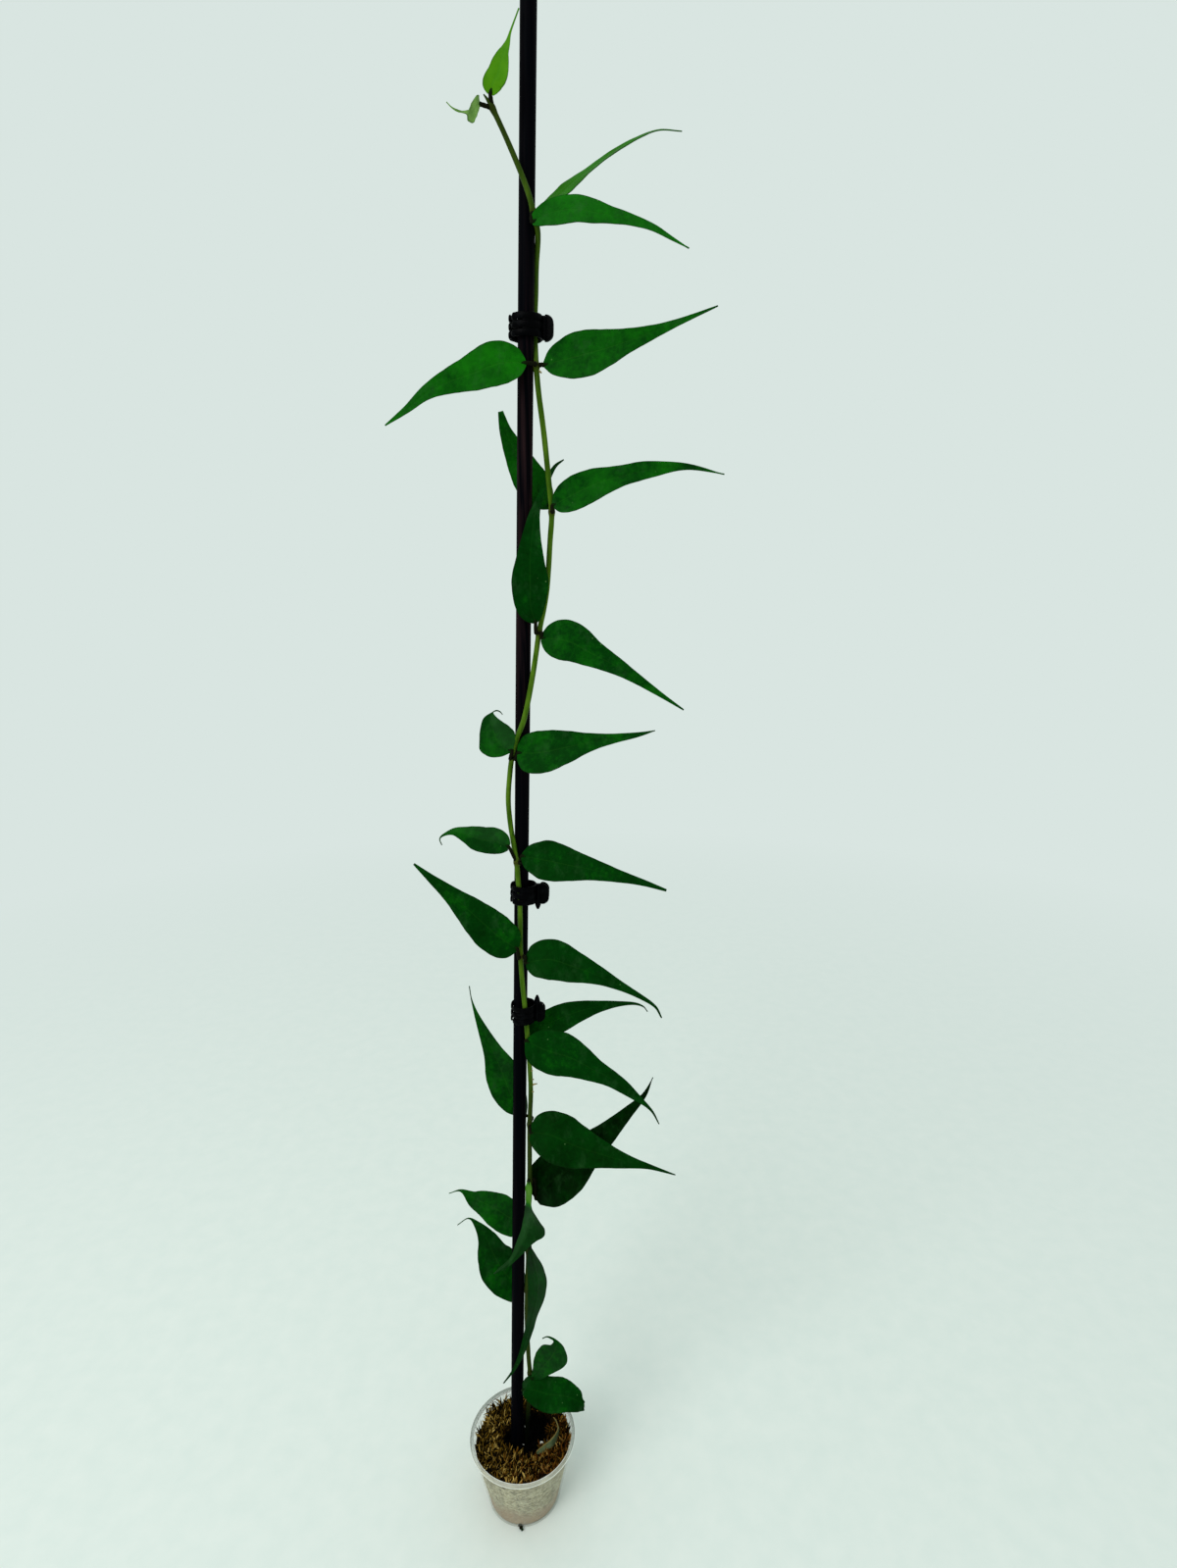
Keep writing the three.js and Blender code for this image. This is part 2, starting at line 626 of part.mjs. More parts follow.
// The leaf's stalk starts a gap off the stem and ends inside the blade.
function stalk(leaf, height, way) {
  const joint = stemAt(height);
  const base = way.getPoint(0);
  const bend = leaf.via ? [joint.clone().add(new THREE.Vector3(...leaf.via))] : [];
  const stemWay = stemAt(height + 1).sub(stemAt(height - 1)).normalize();
  const out = (bend[0] ?? base).clone().sub(joint).projectOnPlane(stemWay).normalize();
  const start = joint.clone().addScaledVector(out, stemRadius(height) + PETIOLE.off);
  const knee = start.clone().addScaledVector(out, PETIOLE.knee);
  const inside = base.clone().addScaledVector(way.getTangent(0), PETIOLE.reach);
  const path = [start, knee, ...bend, base, inside];
  const radii = path.map((_, i) => (i < path.length - 1 ? PETIOLE.radius : PETIOLE.end));
  const chord = inside.clone().sub(start);
  const steep = Math.abs(chord.z) > 0.8 * chord.length();
  return tube(path, radii.map((radius) => [radius, radius]), PETIOLE.sides, steep ? BACK : UP);
}

function leaves() {
  return Object.entries(LEAVES).map(([name, leaf], index) => {
    const height = NODES[leaf.at];
    const { surface, way } = blade(leaf, stemAt(height), LEAF.phase * index);
    const look = YOUNG_LEAVES.includes(name) ? MATERIALS.youngLeaf : MATERIALS.leaf;
    return namedMesh(name, joined([surface, stalk(leaf, height, way)]), look);
  });
}

function witheredLeaf() {
  const way = WITHERED.way.map(([x, y]) => [x, y, 0]);
  const { surface } = blade({ ...WITHERED, way }, new THREE.Vector3(), WITHERED.phase);
  const at = surface.attributes.position;
  for (let i = 0; i < at.count; i += 1) {
    at.setZ(i, at.getZ(i) + mossHeight(at.getX(i), at.getY(i)) + WITHERED.lift);
  }
  return namedMesh("withered_leaf", surface, MATERIALS.witheredLeaf);
}

// Clips: three fingers and a plate wrap the stake and the stem, and two thumb levers stand off a hub.
function arc(radius, fromDegrees, toDegrees, steps, height) {
  return Array.from({ length: steps + 1 }, (_, k) => {
    const angle = radians(fromDegrees + ((toDegrees - fromDegrees) * k) / steps);
    return new THREE.Vector3(radius * Math.cos(angle), radius * Math.sin(angle), height);
  });
}

function clipPlate() {
  const shape = new THREE.Shape();
  const open = radians(CLIP.open);
  shape.absarc(0, 0, CLIP.outer, -open, open, false);
  shape.absarc(0, 0, CLIP.inner, open, -open, true);
  const plate = { depth: CLIP.height, bevelEnabled: false, curveSegments: 9 };
  return new THREE.ExtrudeGeometry(shape, plate).translate(0, 0, -CLIP.height / 2);
}

function clipFinger(row) {
  const halfSlot = THREE.MathUtils.radToDeg(CLIP.slotWidth / 2 / CLIP.ring);
  const from = CLIP.slotAt - 360 + halfSlot;
  const to = CLIP.slotAt - halfSlot;
  const path = arc(CLIP.ring, from, to, CLIP.fingerSteps, row * CLIP.pitch);
  return tube(path, path.map(() => CLIP.finger), 6);
}

function clipHub(spike) {
  const half = CLIP.hubHeight / 2;
  const profile = [
    [0, -half],
    [CLIP.hub, -half],
    [CLIP.hub, half],
    [CLIP.spikeEnd, half + CLIP.spike],
    [0, half + CLIP.spike],
  ];
  const hub = latheAboutZ(profile, 8);
  return (spike === "up" ? hub : hub.rotateX(Math.PI)).translate(CLIP.outer + CLIP.hubOut, 0, 0);
}

// A thumb lever: a plate with two round corners that stands off the hub, turned by its share of the spread.
function clipLever(side) {
  const { reach, tall, thick, taper, round, spread } = CLIP.lever;
  const shape = new THREE.Shape();
  shape.moveTo(0, -tall / 2 + taper);
  shape.lineTo(reach - round, -tall / 2);
  shape.quadraticCurveTo(reach, -tall / 2, reach, -tall / 2 + round);
  shape.lineTo(reach, tall / 2 - round);
  shape.quadraticCurveTo(reach, tall / 2, reach - round, tall / 2);
  shape.lineTo(0, tall / 2 - taper);
  const plate = new THREE.ExtrudeGeometry(shape, { depth: thick, bevelEnabled: false, curveSegments: 3 });
  plate.translate(0, 0, -thick / 2).rotateX(Math.PI / 2).rotateZ(radians(side * spread));
  return plate.translate(CLIP.outer + CLIP.hubOut, 0, 0);
}

function clip([name, { height, right, back, spike }]) {
  const pieces = [clipPlate(), ...[-1, 0, 1].map(clipFinger), clipHub(spike), clipLever(1), clipLever(-1)];
  const mesh = namedMesh(name, joined(pieces), MATERIALS.clip);
  mesh.quaternion.setFromUnitVectors(UP, STAKE_LEAN.clone().normalize());
  mesh.position.copy(stakeAt(height)).add(new THREE.Vector3(right, back, 0));
  return mesh;
}

const plant = new THREE.Group();
plant.name = "potted_hoya";
plant.add(cup(), moss(), stake(), stem(), witheredLeaf());
plant.add(...leaves());
plant.add(...Object.entries(CLIPS).map(clip));
export default plant;
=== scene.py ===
"""A potted climbing hoya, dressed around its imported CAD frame: leaves, stem, moss, cup, stake and clips.

Sizes are in millimetres in the tables, as in the part's source, and become metres when a mesh is made.
The front faces -Y, +X is to the right, +Z is up, and the origin is the middle of the cup's flat base.
"""
import math

import bpy
import numpy as np
from mathutils import Matrix


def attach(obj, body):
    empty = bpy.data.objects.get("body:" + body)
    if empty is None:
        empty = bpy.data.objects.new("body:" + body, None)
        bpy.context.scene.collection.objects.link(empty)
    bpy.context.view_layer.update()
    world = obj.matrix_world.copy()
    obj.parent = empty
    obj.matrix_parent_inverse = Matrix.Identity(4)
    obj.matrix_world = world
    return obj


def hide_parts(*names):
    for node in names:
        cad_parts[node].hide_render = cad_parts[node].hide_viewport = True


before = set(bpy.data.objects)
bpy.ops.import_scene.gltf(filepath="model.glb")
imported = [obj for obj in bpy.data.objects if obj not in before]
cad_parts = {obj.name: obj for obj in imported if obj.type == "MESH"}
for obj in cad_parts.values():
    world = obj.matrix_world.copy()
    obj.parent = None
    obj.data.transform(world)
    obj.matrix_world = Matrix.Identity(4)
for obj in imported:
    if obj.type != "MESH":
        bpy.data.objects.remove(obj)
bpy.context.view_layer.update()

bl_info = {
    "name": "Potted hoya",
    "version": (1, 0, 0),
    "blender": (4, 5, 0),
    "location": "View3D > Sidebar > Hoya",
    "description": "Makes the leaves, stem, moss, cup, stake and clips of a potted climbing hoya",
    "category": "Object",
}

MM = 0.001
SEED = 27

# In these tables sides and rows are how many faces a piece has round it and along it. The stake's axis is at
# rim_x and rim_y at the height of the cup's rim, and leans by so many degrees.
STAKE = {"radius": 4.12, "length": 900.0, "bevel": 0.8, "stand": 0.5, "lean_right": 2.0, "lean_back": 1.0,
         "rim_x": -4.0, "rim_y": 1.9, "sides": 48, "rows": 150, "uneven": 0.006}
CUP = {"height": 50.0, "base_radius": 24.6, "rim_radius": 35.8, "wall": 0.9, "floor": 1.2, "bead": 1.3,
       "foot_round": 1.6, "floor_round": 1.2, "sides": 144}
DRAIN = {"count": 4, "radius": 2.0, "ring_radius": 14.0}
ROOT_TIP = {"way": [(-1.6, -23.4, 1.6), (-0.9, -24.6, 1.3), (-0.3, -25.6, 1.3), (0.5, -26.8, 1.2)],
            "radius": 1.25}

# The moss: its level and its fall, its hills, the hollow's bells as a place and a reach each, and its back,
# which rises from one line across the cup and from another along it, over a reach each. Its top is roughened
# by waves and lies sunk under the strands, and its side is pressed into low bumps.
MOSS = {"level": 45.0, "fall_back_left": 4.0, "dip": 1.2, "tufts": 64, "reach": (2.2, 4.8), "rise": (0.6, 2.6),
        "most_rise": 2.8, "gap": 0.3, "sectors": 180, "top_rings": 56, "wall_rings": 34, "waves": 12,
        "shaded_hollow": ((-6.0, 3.0, 8.5), (3.5, -3.5, 8.0), (9.5, 4.0, 8.0), (4.0, 13.0, 9.0), (11.0, 12.0, 8.0)),
        "hollow_depth": 7.0, "back_rise": 4.0, "back_from": 12.0, "back_reach": 22.0, "side_from": -26.0,
        "side_reach": 14.0, "wave": 0.22, "sunk": 0.4, "pressed": 0.12}

# The strands: how far their tufts stray from their spiral and differ in height, tone and lean, how the
# strands spread, splay and stray from a tuft's middle, the ranges of their own numbers, where tone has a middle
# and a spread, and how near the withered leaf or a crumb they are short
STRANDS = {"tuft_rise": (-1.4, 1.8), "tuft_shade": 0.17, "tuft_lean": 0.32, "spread": 0.75, "stray": 0.3,
           "up": (0.8, 1.4), "vary": (0.55, 1.2), "width": (0.6, 1.3), "curl": 0.8, "tone": (0.57, 0.24),
           "sunk": 1.6, "short": 0.4, "by_leaf": 3.0, "by_crumb": 1.5, "tuft_stray": 0.7, "splay": 0.45,
           "clear": 0.25, "rows": 6}

# The stem, which is thinner near its tip
STEM = {"radius": 1.45, "bottom": 14.0, "apex": 832.0, "node_swell": 0.5, "node_reach": 1.7, "step": 1.2,
        "sides": 18, "thinner": 0.14, "thin_from": 780.0, "thin_over": 45.0}

# The stem's way up: its height, then how far it lies to the right of the stake's axis and in front of it
STEM_ROUTE = np.array([
    (14, 7, 1), (53, 7, 1.5), (97, 8.5, 2), (111, 7.5, 2), (146, 5.9, 2), (190, 6.4, 1), (216, 6.5, 1),
    (244, 6.8, 1), (286, 6.5, 2.5), (311, 6.9, 3), (344, 5, 4.5), (353, 4.2, 5), (371, 2.7, 5.9),
    (384, 1.4, 6.2), (400, 0.4, 6.4), (438, -0.4, 6.2), (445, -1.3, 6), (457, -2.4, 5.5), (466, -4.1, 3.9),
    (479, -6.5, 1.5), (493, -7.8, 0.5), (508, -6.9, 1.2), (518, -5.6, 2.6), (528, -3.1, 5.5), (539, 1, 6.3),
    (557, 4.6, 5), (573, 6.9, 3), (586, 8.6, 2), (607, 12.3, 1), (635, 13.9, 0), (649, 14.5, 0),
    (665, 12.7, 1), (688, 9.9, 2), (707, 7, 2), (720, 5.5, 0.5), (732, 4.6, -3.2), (741, 4.2, -3.9),
    (755, 4.5, -3.9), (768, 4.7, -3.1), (781, 5.5, 0), (788, 3.6, 4.3), (797, 0.8, 6.1), (809, -4.6, 7),
    (821, -10.8, 9), (832, -17, 11),
], dtype=float)

# The end bud's points from the stem's tip and its radii, and the short roots: where each starts, its way out
# of the stem's middle and its radius
BUD = {"from": [(-1.3, -0.5, 1.4), (-2.7, -0.8, 3)], "radius": [1.2, 0.65, 0.3], "rows": 12}
ROOTLETS = [
    {"height": 309, "way": (2, -1.2, 0.5), "radius": 0.6},
    {"height": 313, "way": (4.2, -0.8, 2), "radius": 0.6},
    {"height": 317, "way": (2.2, -1, 1), "radius": 0.6},
    {"height": 323, "way": (1.8, -1.6, 1.5), "radius": 0.6},
    {"height": 718, "way": (2.6, -1.2, -1.5), "radius": 0.7},
]

# The heights of the joints where the leaves stand, from the lowest to the growing tip
JOINTS = {"m_low": 91, "m": 99, "l_low": 164, "l": 193, "k_low": 216, "k": 244, "j": 286, "i": 344,
          "h": 400, "g": 457, "f": 518, "e": 586, "d": 649, "c": 720, "b": 788, "a": 830}

# Each leaf: its joint, how light its green is from 0 to 1 (tone), which is partly its own green and partly
# painted shade and light, low on leaves in shade, how far its face looks up in degrees, the bend in its stalk
# (via) and its midrib from the blade's start to its tip (way), both in mm from the joint, and half its width at
# ten even steps of the square root of the share of its length (half). A leaf that bends or folds sharply has
# its two edges instead (left and right), and its midrib runs halfway between them or on its own way. Pale
# lightens it up to a share of its length, the grey sheen share (grey_sheen) lays a painted grey sheen on it,
# most beside its right edge, or takes the sheen's grey patches off it where it is below 0, straight gives it a
# stalk without a knee, and ragged tears its tip.
LEAVES = {
    "leaf_a_right": dict(at="a", tone=0.05, straight=True, up=5,
        way=[(-0.5, -2, 4.4), (0.8, -2.7, 8.5), (3.2, -3, 12), (4.5, -2.6, 16), (5.9, -1.1, 21.1),
             (7.9, 1.4, 26.7), (9.5, 3.7, 32.9), (13.3, 6, 42.8)],
        half=[1.6, 2, 3.2, 4.3, 4.7, 5, 4.6, 3.6, 1.9, 0.6, 0.2]),
    "leaf_a_left": dict(at="a", tone=1, straight=True,
        left=[(-5.8, -2, 0.3), (-6.1, -6.1, -4.3), (-7, -8.6, -8), (-8.5, -10.4, -11.2), (-10.2, -12.2, -10.9),
              (-10.6, -13.9, -9.1), (-14, -14.7, -8.6), (-17, -15.9, -7.6), (-19.2, -17, -5.8)],
        right=[(-5.7, -2, 1.1), (-6.2, -2.4, 3), (-7, -4.4, 2.5), (-8.3, -7.2, -0.5), (-9.2, -10.2, -3.9),
              (-10.2, -12.8, -7.1), (-13.5, -15.2, -8.1), (-16.6, -16.1, -7.2), (-19.1, -17, -5.5)]),
    "leaf_b_upper": dict(at="b", tone=0.92, up=55,
        way=[(3.3, 2, 2.5), (12.4, 3.6, 8.9), (20.5, 5.5, 16), (30.1, 7.7, 23.4), (40.5, 10.6, 31),
             (51.7, 14.2, 38.1), (62.4, 17.2, 42.7), (74.1, 20, 43.4)],
        half=[1.2, 2.4, 3.6, 4.2, 4.5, 4.3, 3.2, 2.3, 1.5, 1, 0.3]),
    "leaf_b_lower": dict(at="b", tone=0.82, up=14,
        way=[(-0.6, -4, -5.1), (8, -5.6, -2.1), (19.8, -7.6, -1.4), (32.3, -10.6, -4.4), (45.5, -13.2, -7.8),
             (57, -15.5, -12.3), (66.1, -17.4, -17.7), (74.2, -19, -22.5)],
        half=[1.7, 2.5, 3.7, 4.8, 6.4, 7.3, 6.4, 3.9, 2.4, 1.1, 0.1]),
    "leaf_c_left": dict(at="c", tone=0.8, up=12, via=(-0.8, -5.5, 0),
        way=[(-4.7, -7, 0), (-17.9, -8.9, -0.7), (-30.1, -11.3, -5.3), (-42.4, -14, -9.9),
             (-53.9, -16.8, -15.7), (-64, -18.8, -23.7), (-74.6, -20, -31)],
        half=[0.8, 3, 6.6, 9, 10.8, 10.8, 9.1, 6.4, 4, 2, 0.3]),
    "leaf_c_right": dict(at="c", tone=0.64, grey_sheen=-0.12, up=12,
        way=[(3.8, -2, 0), (18.9, -4.1, 3), (33.9, -5.8, 6.1), (48.5, -7, 10.1), (62.9, -7.4, 14.7),
             (77.3, -6, 20.1), (91.7, -3, 26.2)],
        half=[0.7, 2.5, 6, 8.7, 10.8, 11.4, 9.3, 5.7, 3.1, 1.4, 0.3]),
    "leaf_d_left": dict(at="d", tone=0.75, up=15,
        way=[(-1, 5, 2.4), (-5.8, 9.1, 7.8), (-10.8, 12.6, 15.7), (-16.1, 15, 25), (-21.2, 15.7, 35),
             (-24.9, 16.6, 43.9), (-27.1, 18, 53)],
        half=[1.5, 2.2, 3.9, 5.6, 7.5, 8.8, 9.3, 8, 5.7, 3.4, 1.4]),
    "leaf_d_right": dict(at="d", tone=0.64, up=15,
        way=[(0.4, -2, 2.7), (9.9, -5.5, 7.2), (22.3, -8.3, 12.4), (37.4, -10, 16.4), (52.3, -10.4, 19.3),
             (70.1, -9, 20.6), (90, -6, 17.1)],
        half=[0.5, 1.8, 4.7, 6.9, 8.3, 8.7, 7.8, 5.6, 4.4, 2, 0]),
    "leaf_e_up": dict(at="e", tone=0.44, up=10,
        way=[(-1.5, -4, 5.4), (-3.8, -5.6, 14.5), (-3.7, -6.8, 25.1), (-3.4, -7.4, 36.2), (-2.5, -7.1, 47.6),
             (-1, -3.7, 59.7), (1.9, 2.9, 70), (5.9, 7.8, 79.3), (10, 9.7, 86.4), (14.7, 11, 90)],
        half=[0.5, 2.4, 5.1, 7.4, 9, 9.8, 7.4, 4.4, 1.9, 1.3, 0.3]),
    "leaf_e_right": dict(at="e", tone=0.58, up=20,
        way=[(1.4, -3, -2.3), (15.9, -5.7, -4.4), (28.8, -8.4, -10.9), (41.5, -11, -17.4), (53.6, -13, -24.9),
             (65.5, -15, -32.7), (77.4, -17, -40.5)],
        half=[1, 3.9, 7.7, 10.4, 11.5, 9.8, 7, 5, 3, 1.5, 0.4]),
    "leaf_f_left": dict(at="f", tone=0.57, grey_sheen=0.26,
        left=[(-0.2, -3, 2.8), (-6, -3.8, 0.9), (-12.1, -4.4, 1.2), (-17, -4.7, 4.6), (-17.3, -4.7, 10.7),
              (-16.5, -4.1, 16.8), (-14.5, -3.1, 22.4), (-9.7, -2.2, 25.6), (-7.7, -1.6, 26.5),
              (-5.6, -1.3, 25.8), (-4.3, -1, 24)],
        right=[(0.9, -3, 4.7), (1.9, -3.1, 8.4), (2.7, -3.3, 12.1), (1.5, -3.5, 15.5), (-1, -3.7, 18.2),
              (-4, -3.9, 20.3), (-7, -3.5, 22.4), (-9.3, -2.6, 25.1), (-7.6, -1.9, 25.9), (-5.9, -1.4, 25.2),
              (-4.6, -1, 23.7)]),
    "leaf_f_right": dict(at="f", tone=0.54, up=25,
        way=[(3.4, -4, 2.7), (15.8, -6.7, 3.4), (29.3, -9.1, 6.4), (43.9, -11, 9.7), (57.8, -12.5, 12),
             (69.5, -13.1, 13.9), (79, -13, 16.1)],
        half=[2.9, 5.5, 9.2, 11.2, 12.1, 11.5, 9.1, 5.3, 2.9, 1.5, 0.2]),
    "leaf_g_left": dict(at="g", tone=0.55, grey_sheen=0.2, up=30, straight=True,
        way=[(-3.8, -3, 10), (-10.7, -4.2, 13.7), (-18.8, -5.2, 15.3), (-26.2, -5.8, 18.2), (-33.7, -6.1, 20.3),
             (-39.6, -6.1, 18.7), (-42.3, -5.3, 16), (-41.6, -4, 12.1)],
        half=[2, 2.9, 4.8, 6.4, 7.5, 7.5, 6.7, 3.8, 1.3, 0.4, 0.1]),
    "leaf_g_right": dict(at="g", tone=0.44, up=30,
        way=[(2.9, -2, 4.4), (16.9, -4, 2.3), (30.6, -6, -0.2), (44.4, -8, -2.5), (58, -9.4, -5.7),
             (71.5, -10.4, -9.3), (84.9, -11, -13.9)],
        half=[0.5, 2.9, 6.6, 9.2, 11.4, 11, 8.9, 6.2, 4, 2.1, 0.7]),
    "leaf_h_left": dict(at="h", tone=0.5, up=25,
        way=[(-1.4, -4, 6), (-11.8, -5.4, 14.6), (-21, -6.4, 24.1), (-30, -7, 33.6), (-39.2, -7.2, 42.6),
             (-48.7, -6.5, 50.8), (-58.2, -5, 59)],
        half=[1, 4, 7.8, 10.2, 11.2, 11.4, 10, 7.7, 4.8, 2.6, 0.6]),
    "leaf_h_right": dict(at="h", tone=0.43, up=35,
        way=[(3, -2, -3.7), (16.9, -3.6, -0.9), (30.8, -5.5, -4.7), (43.8, -7.9, -8.6), (56.1, -10, -13.9),
             (68.6, -11.7, -20.3), (77.8, -12.6, -26.6), (81.8, -13, -33.8)],
        half=[1, 4.6, 8.6, 10.9, 11.8, 10.2, 7.5, 4.5, 2.1, 1, 0.4]),
    "leaf_i_back": dict(at="i", tone=0.48, up=35,
        way=[(-1.6, 4.5, -1), (9.5, 8.6, 4.8), (24.4, 12.8, 10), (38.1, 15.7, 12.7), (51.9, 18.3, 13.8),
             (64.2, 20.5, 13.1), (70.7, 22, 10.3), (73.7, 23, 6.1)],
        half=[2.4, 4.4, 6.4, 7.6, 8.2, 8.2, 6.2, 3.4, 1.4, 0.6, 0.1]),
    "leaf_i_front": dict(at="i", tone=0.43, up=35,
        way=[(-0.9, -4, 2.7), (10.2, -6.9, -1.7), (24.8, -9.7, -5.2), (38.5, -12.6, -11.4), (52, -15.3, -17.9),
             (63.7, -17.5, -26.5), (73, -19, -34.8), (77.8, -20, -43.6)],
        half=[0.5, 3, 7.2, 10.4, 12.2, 12.5, 9.3, 5.7, 3.6, 1.1, 0.3]),
    "leaf_j_left": dict(at="j", tone=0.58, grey_sheen=0.1, up=30, via=(1, 7, 0),
        way=[(-3.8, 10, -0.3), (-11.8, 12.4, 11.4), (-16.4, 14.5, 23.4), (-21.2, 16.2, 36), (-27.1, 17.7, 50),
             (-32.1, 18.8, 63), (-35.3, 19.1, 74.7), (-36.4, 19, 84.3)],
        half=[1.4, 2.4, 5.1, 8, 9.9, 11.1, 9.9, 5.7, 2.8, 0.7, 0]),
    "leaf_j_right": dict(at="j", tone=0.33, up=40,
        way=[(0.9, -5, -2.1), (12.9, -9.1, -0.8), (27.1, -12.7, -5.6), (41.8, -16, -8.8), (56.9, -19.4, -11.5),
             (72.6, -22.4, -13.6), (88, -25, -17.4)],
        half=[4.1, 5.7, 8.9, 11.7, 13.7, 14.5, 12.6, 8.9, 5.1, 1.8, 0.3]),
    "leaf_k_right": dict(at="k", tone=0.1, up=45,
        way=[(3.3, 2, -13.7), (12.6, 1.2, -1.3), (24.8, 1.1, 8.6), (36.5, 2.3, 20.4), (49.2, 3.5, 32.3),
             (61.1, 4.7, 44.7), (72.3, 6.2, 56.6), (78.1, 8, 68.2)],
        half=[4.5, 6, 9.6, 13.8, 15.7, 15.6, 12.4, 8.8, 5.2, 2.2, 0]),
    "leaf_k_front": dict(at="k", tone=0.3, pale=(0.95, 0.27), grey_sheen=0.3,
        left=[(0.5, -5, 5.2), (3.2, -11.9, 5), (3.3, -16, 2), (2.6, -19.1, -1.8), (4.4, -20.8, -6.1),
              (7.5, -21, -11.2), (10.6, -20.7, -16.8), (10, -20.5, -21.9), (5.2, -20.7, -25.1),
              (0.9, -20.3, -29.7), (-3.2, -19.9, -34.8), (-7.4, -19.8, -39.4), (-11.8, -19.8, -43.8),
              (-16.6, -19.9, -47.3), (-21.7, -20, -50.1)],
        right=[(-0.5, -5, 5.2), (-1.8, -3.5, -1.2), (-1.9, -4.9, -5.4), (-1.8, -6.8, -9.2),
              (-1.7, -8.9, -12.9), (-2.4, -11.5, -16), (-3.6, -13.7, -19.1), (-5, -15.5, -22.7),
              (-6.8, -16.3, -27), (-8.4, -17.1, -31.3), (-10, -17.8, -35.7), (-12.2, -18.5, -39.8),
              (-15.4, -19.1, -43.2), (-18.9, -19.5, -46.2), (-22.2, -20, -49.8)],
        way=[(0, -5, 5.3), (0.7, -7.7, 2), (0.9, -10.5, -1.2), (0.9, -13, -4.6), (0.7, -14.9, -8.5),
              (0.5, -16.2, -12.9), (0, -17.2, -17.5), (-1.3, -18, -22.1), (-3.1, -18.5, -26.8),
              (-5.5, -18.7, -31.4), (-7.7, -18.9, -36.2), (-10.6, -19.1, -40.5), (-14.1, -19.4, -44.1),
              (-18, -19.7, -47.1), (-22, -20, -49.9)]),
    "leaf_k_left": dict(at="k_low", tone=0.6, grey_sheen=0.08, up=40, via=(0, 6, -4),
        way=[(-3.9, 8, -5.8), (-12.1, 10.7, -7.7), (-20.8, 13.1, -3.7), (-29.3, 15, 0.1), (-37.5, 15.8, 3.6),
             (-45.3, 16.1, 9.4), (-53.2, 16, 7.5)],
        half=[2.4, 4.8, 7.4, 9.9, 10.5, 10.6, 10.2, 8.1, 5.5, 1.2, 0]),
    "leaf_l_left": dict(at="l_low", tone=0.49, up=40, via=(0, 6, -2),
        way=[(-2.4, 9, -6.2), (-9.2, 11.4, -5.1), (-17, 13.5, 2.7), (-23, 15.3, 13.5), (-27.4, 16.4, 25.6),
             (-33, 16.9, 35.2), (-38.9, 17.4, 40.2), (-46.5, 18, 34.6)],
        half=[2.3, 4.9, 8.1, 10.5, 11.9, 13.5, 13.3, 9.1, 4.1, 0.8, 0.1]),
    "leaf_l_front": dict(at="l", tone=0.36, grey_sheen=-0.15,
        left=[(2, -5, 8.1), (9.1, -10.8, 1.6), (12.5, -14.2, -8.8), (11.2, -15.5, -21.7), (6.3, -15.9, -34.8),
              (2.1, -16.2, -48.4), (-2.5, -16.8, -61.7), (-8.6, -17.4, -74.2), (-16.8, -18, -85.1)],
        right=[(1.1, -5, 8.5), (-0.5, -4.5, -5.2), (0.6, -5.8, -17.5), (0.3, -7.7, -29.5),
              (-0.9, -10.1, -40.9), (-3.1, -12.9, -51.7), (-6.2, -15.2, -62.9), (-10.8, -16.8, -74.3),
              (-17.3, -18, -84.7)]),
    "leaf_m_curled": dict(at="m", tone=0.6, grey_sheen=0.02, via=(3.5, 0, 3),
        left=[(1.1, -4, 1.2), (2.2, -3.5, 6.4), (3.2, -4, 12.8), (4.2, -4.8, 19.3), (6.3, -5.9, 25.7),
              (10.1, -7.6, 31.3), (14.6, -8.7, 32.3), (16.7, -8.7, 34.7), (14.7, -8.2, 36.4),
              (12.2, -7.1, 36.2), (9.7, -6.1, 34)],
        right=[(2, -4, -1.2), (8.5, -7, 3.3), (14.2, -8.9, 9.3), (20, -10.2, 13.9), (25, -11, 19.6),
              (25.7, -10.4, 26.1), (23.2, -9.1, 31.6), (18.5, -7.9, 35.4), (15.6, -7.2, 36.5),
              (12.4, -6.6, 36.8), (9.4, -5.9, 34.6)]),
    "leaf_m_blunt": dict(at="m_low", tone=0.45, ragged=0.9,
        left=[(-4.4, -6, 1.6), (-3.5, -2.1, 3), (-0.2, -1.6, 6.7), (4.5, -1.6, 8.4), (9.4, -2, 8.6),
              (14.2, -2.6, 8), (19.2, -3.1, 8.4), (23.9, -3.6, 7.7), (28, -4.3, 5.2), (31.7, -6.2, 3.4),
              (34.9, -8.5, 1.4), (36.7, -13, 1.2)],
        right=[(-4.3, -6, -0.1), (-2.6, -11.6, 1.3), (0.2, -13.8, -0.2), (3.5, -15.4, -1.9),
              (7.1, -16.4, -3.7), (11.1, -17, -4.9), (15.3, -17.6, -5.2), (19.6, -18, -4.5),
              (23.9, -18.4, -3.6), (28.1, -17.6, -4.3), (32.4, -16.5, -5.7), (36.1, -13, -8.5)]),
}
YOUNG_LEAVES = ("leaf_a_right", "leaf_a_left")

# What the blades share: their least half width at each end, their fold, waves and ripples, their groove and rib
# at the midrib, and the crinkle of their edge. Packing puts more rows near the stalk.
LEAF = dict(stub=0.5, tip=0.28, fold=0.1, waves=2.5, full_wave=6.0, full_thickness=4.0, phase=2.4,
            rows=110, columns=20, packing=1.3, groove=0.16, groove_width=0.55, rib=0.35,
            ripple=0.1, ripples=9.0, crinkle=0.006)

# A stalk: how far off the stem it starts, its knee, its reach into the blade, and where it thins
STALK = dict(radius=1.0, end=0.5, thins_from=0.8, foot=0.25, knee=1.3, reach=2.5, off=0.1, rows=26, sides=10,
             wrinkle=0.05)

